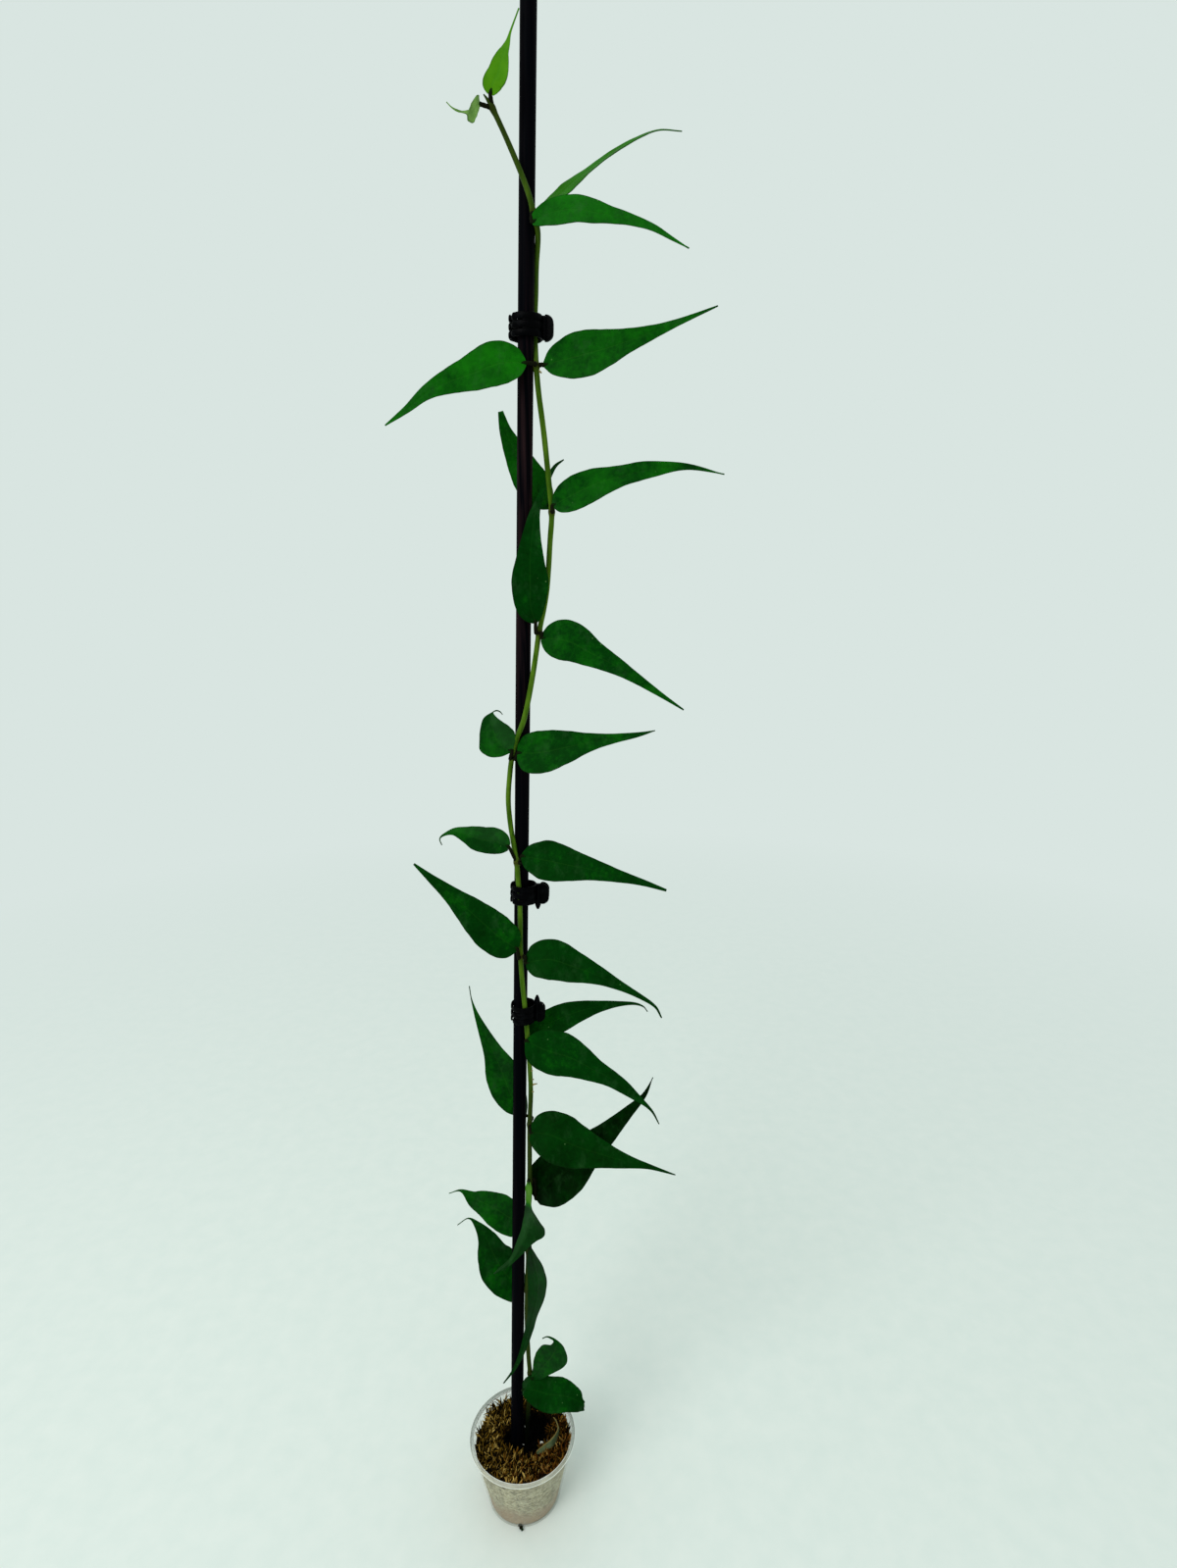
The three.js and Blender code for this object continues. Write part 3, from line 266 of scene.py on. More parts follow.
# The withered leaf on the moss: its way across it and how high it lies. Its face looks up and turns to the
# right, and it is rolled about its midrib, by one angle at its start and by another from its middle on.
WITHERED = dict(way=[(10, -11.7), (20.2, -4.6), (23.9, 3.4), (22.8, 9), (20.6, 12.6)], lift=2.6, up=60,
                turn=60, roll=48, roll_tip=56, phase=1, tone=0.5,
                half=[0.4, 1.1, 1.7, 2.2, 2.5, 2.8, 2.8, 2.5, 1.9, 1.1, 0.3])

# White crumbs of perlite on the moss: the place and size of each, in mm
PERLITE = [(12.9, -2.0, 1.25), (16.8, -0.8, 0.5), (0.5, 12.0, 0.32), (2.6, 5.6, 0.32), (0.4, -1.0, 0.28)]
CRUMB = {"lift": 1.1, "sides": 12, "rows": 9}

# Each clip: its height on the stake, where its ring's middle lies off the stake's axis, which way its spike
# points and how long it is, how far its levers reach, and how many times wider its ring is on the left
CLIPS = {
    "clip_top": dict(height=738.5, right=1.0, back=1.3, spike=1, point=0.4, reach=4.9, left=1.28),
    "clip_middle": dict(height=437.4, right=1.5, back=-1.85, spike=-1, point=4.6, reach=6.9, left=1.0),
    "clip_bottom": dict(height=362.0, right=1.7, back=-1.65, spike=1, point=5.4, reach=5.3, left=0.94),
}

# What the clips share: the fingers' ring, half sizes, slot and knuckles, the plate between two radii, the hub,
# the levers with their round corners, and the spring with how far it stands off the hub
CLIP = dict(ring=7.2, finger=(0.65, 1.75), pitch=3.9, slot_at=205.0, slot_width=0.8, knuckles=9, knuckle=0.08,
            inner=6.45, outer=7.4, height=9.6, open=105.0, hub=1.9, hub_out=1.0, hub_height=10.6, groove=0.07,
            spike_end=0.6, tall=12.6, thick=1.5, round=4.4, root=1.5, spread=24.0, wire=0.38, coil=1.35,
            turns=9, spring_out=2.2)

# The weak, green-tinted shine of living leaves and of the stem
WAXY = {"Specular_IOR_Level": 0.08, "Specular_Tint": (0.12, 0.7, 0.1, 1.0)}

# The photograph's camera: its place in mm, how far it looks down and rolls in degrees, and its lens
CAMERA = {"place": (49.4, -450.7, 610.6), "down": 13.37, "roll": -0.59, "focal_px": 850.0, "long_px": 1599.0,
          "sensor_mm": 36.0}

# The light, with its place, aim and size in metres, and the floor in mm
LIGHT = {"place": (-1.0, -1.3, 1.9), "aim": (0.0, 0.0, 0.45), "size": 1.1, "power": 22.0,
         "colour": (1.0, 0.99, 0.96)}
FLOOR = {"radii": [0.5, 60, 200, 500, 1200, 3000, 12000], "below": 0.05, "thick": 20.0, "sides": 96}


def linear(red, green, blue):
    """A display colour given from 0 to 255, as the linear colour that the shaders take."""
    shares = np.array((red, green, blue)) / 255.0
    values = np.where(shares <= 0.04045, shares / 12.92, ((shares + 0.055) / 1.055) ** 2.4)
    return (*(float(v) for v in values), 1.0)


# Curves and frames along them

def hermite(t, start, end, out, back):
    """A cubic from one value to another, as t goes from 0 to 1, with given slopes at its start and its end."""
    return ((2 * t**3 - 3 * t**2 + 1) * start + (t**3 - 2 * t**2 + t) * out
            + (3 * t**2 - 2 * t**3) * end + (t**3 - t**2) * back)


def catmull_rom(points, shares):
    """The points and slopes at shares from 0 to 1 on the curve through the given points. On each span it is a
    cubic whose slope at a point is half the step between that point's neighbours. Past each end, the
    neighbour is the mirror image of the one before it."""
    points = np.asarray(points, dtype=float)
    padded = np.vstack([2 * points[0] - points[1], points, 2 * points[-1] - points[-2]])
    spans = len(points) - 1
    place = np.clip(np.asarray(shares, dtype=float), 0, 1) * spans
    i = np.minimum(place.astype(int), spans - 1)
    t = (place - i)[:, None]
    before, start, end, after = (padded[i + k] for k in range(4))
    out, back = (end - before) / 2, (after - start) / 2
    slope = ((6 * t**2 - 6 * t) * start + (3 * t**2 - 4 * t + 1) * out
             + (6 * t - 6 * t**2) * end + (3 * t**2 - 2 * t) * back)
    return hermite(t, start, end, out, back), slope


def unit(vectors):
    """Vectors made one long."""
    return vectors / np.maximum(np.linalg.norm(vectors, axis=-1, keepdims=True), 1e-12)


def around(sides):
    """Angles at even steps round a circle."""
    return 2 * np.pi * np.arange(sides) / sides


def stake_at(height):
    """The stake's axis at a height: a straight line through its place at the rim, along its lean."""
    height = np.atleast_1d(np.asarray(height, dtype=float))
    rise = height - CUP["height"]
    x = STAKE["rim_x"] + math.tan(math.radians(STAKE["lean_right"])) * rise
    y = STAKE["rim_y"] + math.tan(math.radians(STAKE["lean_back"])) * rise
    return np.stack([x, y, height], axis=-1)


def stake_way():
    """The direction in which the stake points."""
    return unit(stake_at(1)[0] - stake_at(0)[0])


def stem_at(height):
    """The stem's middle at a height: a cubic on each span of its route, whose slope at a point is that of the
    chord between the points beside it, added to the stake's axis."""
    height = np.atleast_1d(np.asarray(height, dtype=float))
    z, right, front = STEM_ROUTE.T
    ahead = np.minimum(np.arange(len(z)) + 1, len(z) - 1)
    behind = np.maximum(np.arange(len(z)) - 1, 0)
    i = np.clip(np.searchsorted(z, height, side="right") - 1, 0, len(z) - 2)
    span = z[i + 1] - z[i]
    t = (height - z[i]) / span
    off = []
    for values in (right, front):
        slope = (values[ahead] - values[behind]) / (z[ahead] - z[behind])
        off.append(hermite(t, values[i], values[i + 1], span * slope[i], span * slope[i + 1]))
    return stake_at(height) + np.stack([off[0], -off[1], np.zeros_like(t)], axis=-1)


def stem_radius(height):
    """The stem's radius: even, with a bell-shaped swelling at each joint."""
    height = np.atleast_1d(np.asarray(height, dtype=float))
    joints = np.array(list(JOINTS.values()), dtype=float)
    bells = np.exp(-(((height[:, None] - joints) / STEM["node_reach"]) ** 2))
    return STEM["radius"] + STEM["node_swell"] * bells.max(axis=1)


def cup_radius(height):
    """The cup's outer radius at a height: a straight taper from the base to under the rim."""
    top = CUP["height"] - 2 * CUP["bead"]
    under = CUP["rim_radius"] - CUP["bead"]
    return CUP["base_radius"] + (under - CUP["base_radius"]) * np.asarray(height, dtype=float) / top


# Closed surfaces and the meshes made from them

def tube_rings(path, radii, sides, side=(0, 0, 1)):
    """Rings of points round a path: at each point a circle square to the path, whose radius may change along
    the path and round it."""
    path = np.asarray(path, dtype=float)
    tangent = unit(np.gradient(path, axis=0))
    across = unit(np.cross(np.asarray(side, dtype=float), tangent))
    along = np.cross(tangent, across)
    angle = around(sides)
    radii = np.broadcast_to(np.asarray(radii, dtype=float).reshape(len(path), -1), (len(path), sides))
    return (path[:, None] + radii[..., None] * (across[:, None] * np.cos(angle)[None, :, None]
                                                + along[:, None] * np.sin(angle)[None, :, None]))


def lathe_rings(profile, sides):
    """Rings about the Z axis, one for each (radius, height) of the profile."""
    radius, height = np.asarray(profile, dtype=float).T
    angle = around(sides)
    x = radius[:, None] * np.cos(angle)
    y = radius[:, None] * np.sin(angle)
    return np.stack([x, y, np.broadcast_to(height[:, None], x.shape)], axis=-1)


def shell(rings, look=0, uv=None):
    """A closed shell from rings of points. Neighbouring rings are joined by four-sided faces, and each end
    ring by three-sided faces to its middle. look is a material index, or one for each column of faces."""
    rows, sides = rings.shape[:2]
    ends = rings[[0, -1]].mean(axis=1)
    points = np.vstack([rings.reshape(-1, 3), ends])
    if uv is None:
        v, u = np.meshgrid(np.linspace(0, 1, rows), np.arange(sides) / sides, indexing="ij")
        uv = np.stack([u, v], axis=-1)
    uvs = np.vstack([uv.reshape(-1, 2), uv[[0, -1]].mean(axis=1)])
    i, k = np.meshgrid(np.arange(rows - 1), np.arange(sides), indexing="ij")
    after = (k + 1) % sides
    quads = np.stack([i * sides + k, i * sides + after, (i + 1) * sides + after, (i + 1) * sides + k], axis=-1)
    k, after = k[0], after[0]
    low = np.stack([np.full(sides, rows * sides), after, k], axis=-1)
    base = (rows - 1) * sides
    high = np.stack([np.full(sides, rows * sides + 1), base + k, base + after], axis=-1)
    columns = np.broadcast_to(np.asarray(look), (sides,))
    looks = np.concatenate([np.tile(columns, rows - 1), columns, columns])
    return {"points": points, "uvs": uvs, "quads": quads.reshape(-1, 4), "triangles": np.vstack([low, high]),
            "looks": looks}


def outward(part):
    """The shell turned so that its faces point out: six times a closed surface's volume is the sum of each
    face's first corner dotted with the cross product of the other two."""
    quads = part["quads"]
    triangles = np.vstack([quads[:, [0, 1, 2]], quads[:, [0, 2, 3]], part["triangles"]])
    a, b, c = (part["points"][triangles[:, k]] for k in range(3))
    if np.einsum("ij,ij->", a, np.cross(b, c)) < 0:
        return {**part, "quads": quads[:, ::-1], "triangles": part["triangles"][:, ::-1]}
    return part


def piece(name, parts, materials, replaces=()):
    """One object from closed shells in mm: its mesh in metres, smooth, with a UV map, riding on the root."""
    parts = [outward(part) for part in parts]
    start = np.cumsum([0] + [len(part["points"]) for part in parts])[:-1]
    points = np.vstack([part["points"] for part in parts]) * MM
    quads = np.vstack([part["quads"] + s for part, s in zip(parts, start)])
    triangles = np.vstack([part["triangles"] + s for part, s in zip(parts, start)])
    quad_looks = np.concatenate([part["looks"][:len(part["quads"])] for part in parts])
    triangle_looks = np.concatenate([part["looks"][len(part["quads"]):] for part in parts])
    loops = np.concatenate([quads.ravel(), triangles.ravel()]).astype(np.int32)
    totals = np.concatenate([np.full(len(quads), 4), np.full(len(triangles), 3)]).astype(np.int32)
    mesh = bpy.data.meshes.new(name)
    mesh.vertices.add(len(points))
    mesh.vertices.foreach_set("co", points.ravel())
    mesh.loops.add(len(loops))
    mesh.loops.foreach_set("vertex_index", loops)
    mesh.polygons.add(len(totals))
    mesh.polygons.foreach_set("loop_start", (np.cumsum(totals) - totals).astype(np.int32))
    mesh.polygons.foreach_set("loop_total", totals)
    mesh.polygons.foreach_set("use_smooth", np.ones(len(totals), dtype=bool))
    mesh.polygons.foreach_set("material_index", np.concatenate([quad_looks, triangle_looks]).astype(np.int32))
    uvs = np.vstack([part["uvs"] for part in parts])
    layer = mesh.uv_layers.new(name="surface")
    layer.data.foreach_set("uv", uvs[loops].astype(np.float32).ravel())
    for key in ("tone", "grey_sheen"):
        if any(key in part for part in parts):
            values = [np.broadcast_to(part.get(key, 0.0), len(part["points"])) for part in parts]
            numbers = mesh.attributes.new(key, "FLOAT", "POINT").data
            numbers.foreach_set("value", np.concatenate(values).astype(np.float32))
    mesh.update(calc_edges=True)
    mesh.validate()
    for material in materials:
        mesh.materials.append(material)
    made = bpy.data.objects.new(name, mesh)
    bpy.context.scene.collection.objects.link(made)
    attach(made, "root")
    if replaces:
        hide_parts(*replaces)
    return made


# Finishes

class Finish:
    """A new material: its shader, the object coordinates that its patterns read, its colour so far, and short
    words for the nodes that it is made of."""

    def __init__(self, name, colour, **fixed):
        """Starts from one colour, and sets the shader's sockets that are alike all over."""
        self.material = bpy.data.materials.new(name)
        self.material.use_nodes = True
        self.tree = self.material.node_tree
        self.shader = self.tree.nodes["Principled BSDF"]
        for key, value in fixed.items():
            self.shader.inputs[key.replace("_", " ")].default_value = value
        self.place = self.node("ShaderNodeTexCoord").outputs["Object"]
        self.colour = colour

    def put(self, value, socket):
        """Links an output to a socket, or sets the socket to a plain value."""
        if isinstance(value, bpy.types.NodeSocket):
            self.tree.links.new(value, socket)
        else:
            socket.default_value = value

    def node(self, kind, inputs=None, **settings):
        """A node with its settings and inputs."""
        made = self.tree.nodes.new(kind)
        for key, value in settings.items():
            setattr(made, key, value)
        for key, value in (inputs or {}).items():
            self.put(value, made.inputs[key])
        return made

    def maths(self, operation, *values):
        """One step of arithmetic on numbers or outputs."""
        return self.node("ShaderNodeMath", dict(enumerate(values)), operation=operation).outputs[0]

    def times(self, a, b):
        """One value times another."""
        return self.maths("MULTIPLY", a, b)

    def plus(self, a, b):
        """One value added to another."""
        return self.maths("ADD", a, b)

    def less(self, a, b):
        """A value less another."""
        return self.maths("SUBTRACT", a, b)

    def sway(self, pattern, share, start):
        """A number moved up and down by a share of a pattern's way from its middle."""
        return self.maths("MULTIPLY_ADD", self.less(pattern, 0.5), share, start)

    def ramp(self, value, low, high, to_low=0.0, to_high=1.0):
        """A number carried from one range to another, and held at its ends."""
        inputs = {"Value": value, "From Min": low, "From Max": high, "To Min": to_low, "To Max": to_high}
        return self.node("ShaderNodeMapRange", inputs, clamp=True).outputs["Result"]

    def noise(self, scale, detail=3.0, roughness=0.55, stretch=None):
        """A noise value on the object coordinates, which may be stretched along the axes first."""
        place = self.place
        if stretch is not None:
            place = self.node("ShaderNodeMapping", {"Vector": place, "Scale": stretch}).outputs[0]
        inputs = {"Vector": place, "Scale": scale, "Detail": detail, "Roughness": roughness}
        return self.node("ShaderNodeTexNoise", inputs).outputs["Fac"]

    def coordinate(self, axis):
        """A point's own X, Y or Z in metres. Z is its height above the floor."""
        return self.node("ShaderNodeSeparateXYZ", {0: self.place}).outputs[axis]

    def distance(self, vector):
        """How long a vector is."""
        return self.node("ShaderNodeVectorMath", {0: vector}, operation="LENGTH").outputs["Value"]

    def surface_map(self):
        """How far across and along the piece's own UV map a point is."""
        where = self.node("ShaderNodeUVMap", uv_map="surface").outputs[0]
        parts = self.node("ShaderNodeSeparateXYZ", {0: where})
        return parts.outputs[0], parts.outputs[1]

    def off_middle(self, across):
        """How far a point is off the middle of the map, from 0 there to 1 at either edge."""
        return self.times(self.maths("ABSOLUTE", self.less(across, 0.5)), 2.0)

    def attribute(self, name):
        """A number that the piece's points carry."""
        return self.node("ShaderNodeAttribute", attribute_name=name).outputs["Fac"]

    def over(self, colour, share):
        """Lays a colour over what is there, by a share."""
        inputs = {0: share, 6: self.colour, 7: colour}
        self.colour = self.node("ShaderNodeMix", inputs, data_type="RGBA").outputs[2]

    def lay(self, colour, pattern, low, high, at_low=0.0, at_high=1.0):
        """Lays a colour over what is there, by a share that follows a pattern."""
        self.over(colour, self.ramp(pattern, low, high, at_low, at_high))

    def finish(self, grain, rough, relief=None, rise=0.0, strength=1.0, span=(0.3, 0.7)):
        """Sets the colour, a roughness that follows a grain between two values, and a relief that is so many
        metres high."""
        self.put(self.colour, self.shader.inputs["Base Color"])
        self.put(self.ramp(grain, *span, *rough), self.shader.inputs["Roughness"])
        if relief is not None:
            inputs = {"Height": relief, "Distance": rise, "Strength": strength}
            self.put(self.node("ShaderNodeBump", inputs).outputs["Normal"], self.shader.inputs["Normal"])
        return self.material


def leaf_material(colours):
    """Waxy leaf: its green follows the leaf's tone, which is partly its own green and partly painted shade and
    light, clouded and mottled, with a painted grey sheen in patches, a faint midrib and side veins, a dark edge
    and a few pale specks. Across the map is 0.5 at the midrib, and along it is the length. A side vein lies
    where thirteen lengths, less a power of the way off the midrib, come half way between two whole numbers."""
    look = Finish("waxy_leaf", colours.leaf_dark, **WAXY)
    across, along = look.surface_map()
    off, tone = look.off_middle(across), look.attribute("tone")
    clouds, mottle = look.noise(70.0, 5.0, 0.6), look.noise(380.0, 4.0, 0.65)
    # Partly painted shade and light: the leaf's tone, clouded and mottled, picks its green from dark to light
    light = look.sway(mottle, 0.5, look.sway(clouds, 0.9, tone))
    look.lay(colours.leaf_deep, light, 0.0, 0.5)
    look.lay(colours.leaf_light, light, 0.5, 1.0)
    look.lay(colours.leaf_pale, light, 1.1, 1.7)
    look.lay(colours.leaf_young, tone, 0.86, 0.96, 0.0, 0.4)
    # Painted sheen: a grey-green laid on in patches and by each leaf's own share, most beside its right edge
    sheen = look.ramp(look.noise(130.0, 6.0, 0.7, (1.0, 0.5, 0.7)), 0.52, 0.8, 0.0, 0.42)
    look.over(colours.leaf_sheen, look.plus(look.attribute("grey_sheen"), sheen))
    slant = look.less(look.times(along, 13.0), look.times(look.maths("POWER", off, 1.4), 1.9))
    comb = look.maths("ABSOLUTE", look.less(look.maths("FRACT", slant), 0.5))
    side_veins = look.times(look.ramp(comb, 0.0, 0.06, 0.4, 0.0), look.ramp(off, 0.55, 0.9, 0.5, 0.0))
    veins = look.maths("MAXIMUM", look.ramp(off, 0.015, 0.05, 0.55, 0.0), side_veins)
    look.over(colours.leaf_vein, look.times(veins, look.ramp(tone, 0.1, 0.6, 0.04, 0.15)))
    look.lay(colours.leaf_edge, off, 0.92, 1.0, 0.0, 0.5)
    cells = look.node("ShaderNodeTexVoronoi", {"Vector": look.place, "Scale": 210.0})
    chance = look.node("ShaderNodeSeparateColor", {0: cells.outputs["Color"]}).outputs[0]
    speck = look.ramp(cells.outputs["Distance"], 0.04, 0.1, 0.4, 0.0)
    look.over(colours.leaf_speck, look.times(speck, look.maths("GREATER_THAN", chance, 0.88)))
    return look.finish(clouds, (0.42, 0.56), look.plus(clouds, look.times(veins, -0.5)), 0.0006, 0.5)


def young_leaf_material(colours):
    """Thin young leaf: bright yellow-green, or pale grey-green where its tone is high, with a soft midrib."""
    look = Finish("young_leaf", colours.leaf_young, **WAXY)
    off, clouds = look.off_middle(look.surface_map()[0]), look.noise(160.0, 4.0)
    look.over(colours.leaf_pale, look.attribute("tone"))
    look.lay(colours.leaf_light, clouds, 0.4, 0.7, 0.0, 0.25)
    look.lay(colours.leaf_vein, off, 0.02, 0.1, 0.2, 0.0)
    look.lay(colours.leaf_edge, off, 0.86, 1.0, 0.0, 0.5)
    return look.finish(clouds, (0.4, 0.52), clouds, 0.0004, 0.5)


def leaf_back_material(colours):
    """Leaf underside: paler and duller than the face, with the midrib standing out."""
    look = Finish("leaf_underside", colours.leaf_back, **WAXY)
    clouds = look.noise(120.0, 4.0)
    look.lay(colours.leaf_light, clouds, 0.3, 0.7)
    look.lay(colours.leaf_vein, look.off_middle(look.surface_map()[0]), 0.03, 0.12, 0.5, 0.0)
    return look.finish(clouds, (0.55, 0.7), clouds, 0.0004, 0.5)


def stalk_material(colours):
    """Leaf stalk: blackish brown at the stem, turning to green where it meets the blade."""
    look = Finish("leaf_stalk", colours.stalk, Specular_IOR_Level=0.02)
    clouds = look.noise(700.0)
    green = look.ramp(look.surface_map()[1], 0.7, 1.2)
    look.over(colours.leaf_deep, look.plus(green, look.times(clouds, 0.2)))
    return look.finish(clouds, (0.5, 0.7), clouds, 0.0004, 0.7)


def stem_material(colours):
    """Green stem: olive and yellow-green in lengthwise streaks, browner at the joints and near its tip, with
    painted shade that darkens it low down among the lower leaves and turns it black in the moss's hollow."""
    look = Finish("green_stem", colours.stem, **WAXY)
    streaks = look.noise(420.0, 4.0, stretch=(1.0, 1.0, 0.12))
    look.lay(colours.stem_light, streaks, 0.35, 0.65)
    look.lay(colours.stem_dark, look.noise(60.0), 0.5, 0.8, 0.0, 0.5)
    look.over(colours.stem_joint, look.times(look.surface_map()[0], 0.8))
    height = look.coordinate(2)
    high = look.plus(look.ramp(height, 0.66, 0.74, 0.0, 0.45), look.ramp(height, 0.79, 0.82, 0.0, 0.4))
    look.over(colours.stem_dark, high)
    # Painted shade: the stem is darker below about 0.3 m, where the lower leaves shade it
    look.lay(colours.stem_dark, height, 0.3, 0.33, 0.85, 0.0)
    # Painted shade: the stem's foot is black in the moss's hollow
    look.lay(colours.shaded_hollow, height, 0.06, 0.1, 0.97, 0.0)
    return look.finish(streaks, (0.42, 0.6), streaks, 0.0004, 0.8)


def rootlet_material(colours):
    """Short roots: pale tan, rough."""
    look = Finish("rootlet", colours.rootlet, Specular_IOR_Level=0.3)
    clouds = look.noise(900.0)
    look.lay(colours.stem_dark, clouds, 0.3, 0.7)
    return look.finish(clouds, (0.6, 0.8), clouds, 0.0004, 0.8)


def moss_bed_material(colours):
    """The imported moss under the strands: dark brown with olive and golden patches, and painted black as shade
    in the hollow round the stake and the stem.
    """
    look = Finish("moss_bed", colours.moss_dark, Specular_IOR_Level=0.03)
    clumps, fibres = look.noise(260.0, 5.0, 0.65), look.noise(1400.0, 3.0, 0.7)
    look.lay(colours.moss_olive, clumps, 0.42, 0.7, 0.0, 0.5)
    look.lay(colours.moss_gold, fibres, 0.55, 0.8, 0.0, 0.4)
    # Painted shade: the hollow round the stake and the stem is painted near black by its share
    look.lay(colours.shaded_hollow, look.attribute("tone"), 0.1, 0.7, 0.0, 0.97)
    return look.finish(fibres, (0.8, 0.98), look.plus(clumps, look.times(fibres, 0.5)), 0.0015)


def moss_side_material(colours):
    """Damp moss pressed against the cup's wall: grey-beige and brown mottling, pinkish brown low down."""
    look = Finish("pressed_moss", colours.pressed_dark, Specular_IOR_Level=0.1)
    blotches, fibres = look.noise(520.0, 4.0, 0.7, (0.7, 0.7, 1.2)), look.noise(900.0, 4.0, 0.75)
    look.lay(colours.pressed_light, blotches, 0.36, 0.62)
    look.lay(colours.pressed_dark, look.noise(90.0, 4.0, 0.7), 0.45, 0.65, 0.0, 0.4)
    low = look.sway(look.noise(45.0), 0.03, look.coordinate(2))
    look.lay(colours.pressed_pink, low, 0.01, 0.02, 0.8, 0.0)
    look.lay(colours.moss_olive, fibres, 0.5, 0.72, 0.0, 0.4)
    return look.finish(fibres, (0.7, 0.9), fibres, 0.0008)


def strand_material(colours):
    """Dry moss strands: each has its own tone along a ramp from black over olive to gold and straw, kept in the
    first number of its map, redder by its share of rust, and painted dark at its root as the shade between
    the strands."""
    look = Finish("moss_strand", colours.shaded_hollow, Specular_IOR_Level=0.04)
    tone, along = look.surface_map()
    steps = look.node("ShaderNodeValToRGB", {0: tone})
    stops = steps.color_ramp.elements
    stops[0].color, stops[-1].color = colours.shaded_hollow, colours.moss_straw
    for position, colour in {0.2: colours.moss_dark, 0.48: colours.moss_olive, 0.72: colours.moss_gold}.items():
        stops.new(position).color = colour
    look.colour = steps.outputs[0]
    look.over(colours.moss_rust, look.times(look.attribute("tone"), look.ramp(tone, 0.2, 0.4, 0.0, 0.75)))
    # Painted shade: each strand darkens towards its root, where the strands shade one another
    look.lay(colours.shaded_hollow, along, 0.15, 0.6, 0.95, 0.0)
    flecks = look.noise(1500.0, 2.0)
    look.lay(colours.moss_dark, flecks, 0.4, 0.7, 0.0, 0.3)
    return look.finish(flecks, (0.7, 0.92))


def perlite_material(colours):
    """Perlite: white crumbs, pitted and slightly soiled."""
    look = Finish("perlite", colours.perlite, Specular_IOR_Level=0.3)
    pits = look.noise(1500.0, 4.0)
    look.lay(colours.moss_gold, pits, 0.5, 0.8, 0.0, 0.6)
    return look.finish(pits, (0.7, 0.9), pits, 0.0006)


def cup_material(colours):
    """Thin clear plastic with a milky haze, faintly streaked from top to bottom, with a few scuffs. The rolled
    rim carries two painted highlight lines, whiter and less see-through, one outside and one inside, which
    drift round its roll from front to back, and painted shade greys it between them at the sides and the back.
    The haze is the share that isn't see-through."""
    look = Finish("clear_cup", colours.cup_wall, Specular_IOR_Level=0.5, IOR=1.49)
    look.material.surface_render_method = "BLENDED"
    streaks, scuffs = look.noise(160.0, 4.0, stretch=(1.0, 1.0, 0.15)), look.noise(500.0, 5.0, 0.7)
    z, bead = look.coordinate(2), CUP["bead"] * MM
    level = look.node("ShaderNodeVectorMath", {0: look.place, 1: (1.0, 1.0, 0.0)}, operation="MULTIPLY")
    out = look.distance(level.outputs[0])
    above, beside = look.less(z, CUP["height"] * MM - bead), look.less(out, CUP["rim_radius"] * MM - bead)
    drift = look.maths("DIVIDE", look.coordinate(1), out)
    outer = look.maths("ABSOLUTE", look.less(look.maths("ARCTAN2", above, beside), look.times(drift, 0.68)))
    inner = look.maths("ABSOLUTE", look.less(outer, math.pi))
    rim = look.ramp(z, 0.0472, 0.0476)
    # Painted highlight: the two bright lines along the roll
    line = look.times(rim, look.ramp(look.maths("MINIMUM", outer, inner), 0.5, 0.75, 1.0, 0.0))
    haze = 0.08
    for more in (look.ramp(streaks, 0.35, 0.7, 0.0, 0.08), look.ramp(scuffs, 0.55, 0.75, 0.0, 0.1),
                 look.times(rim, look.ramp(drift, -0.9, -0.2, 0.34, 0.38)), look.times(line, 0.8),
                 look.ramp(z, 0.0, 0.0022, 0.1, 0.0)):
        haze = look.plus(haze, more)
    look.put(haze, look.shader.inputs["Alpha"])
    # Painted shade: the rim is greyer between its lines at the sides and the back
    look.over(colours.cup_shade, look.times(rim, look.ramp(drift, -0.9, -0.2)))
    look.over(colours.cup_rim_highlight, line)
    return look.finish(scuffs, (0.16, 0.34), streaks, 0.0002, 0.4, span=(0.4, 0.7))


def stake_material(colours):
    """Satin black plastic over a cane: nearly black, plum brown in long streaks, and brown at mid height."""
    look = Finish("stake_plastic", colours.stake, Specular_IOR_Level=0.008)
    streaks, z = look.noise(500.0, 4.0, stretch=(1.0, 1.0, 0.03)), look.coordinate(2)
    middle = look.times(look.ramp(z, 0.50, 0.62), look.ramp(z, 0.66, 0.78, 1.0, 0.0))
    share = look.times(look.ramp(streaks, 0.4, 0.7), look.maths("MULTIPLY_ADD", middle, 0.9, 0.1))
    look.over(colours.stake_brown, share)
    return look.finish(streaks, (0.4, 0.55), streaks, 0.0003, 0.6)


def clip_material(colours):
    """Moulded black plastic: satin, with a fine grain and greyer patches painted as its sheen."""
    look = Finish("clip_plastic", colours.clip, Specular_IOR_Level=0.02)
    sheen_patches = look.noise(220.0, 4.0)
    # Painted sheen: greyer patches stand in for the clip's highlights
    look.lay(colours.clip_wear_and_sheen, sheen_patches, 0.5, 0.8, 0.0, 0.5)
    return look.finish(sheen_patches, (0.28, 0.46), look.noise(1600.0), 0.0002, 0.5)


def spring_material(colours):
    """Drawn steel wire: bright, with fine scratches along it."""
    look = Finish("spring_steel", colours.steel, Metallic=1.0)
    scratches = look.noise(2500.0)
    look.lay(colours.clip_wear_and_sheen, scratches, 0.4, 0.7)
    return look.finish(scratches, (0.22, 0.4))


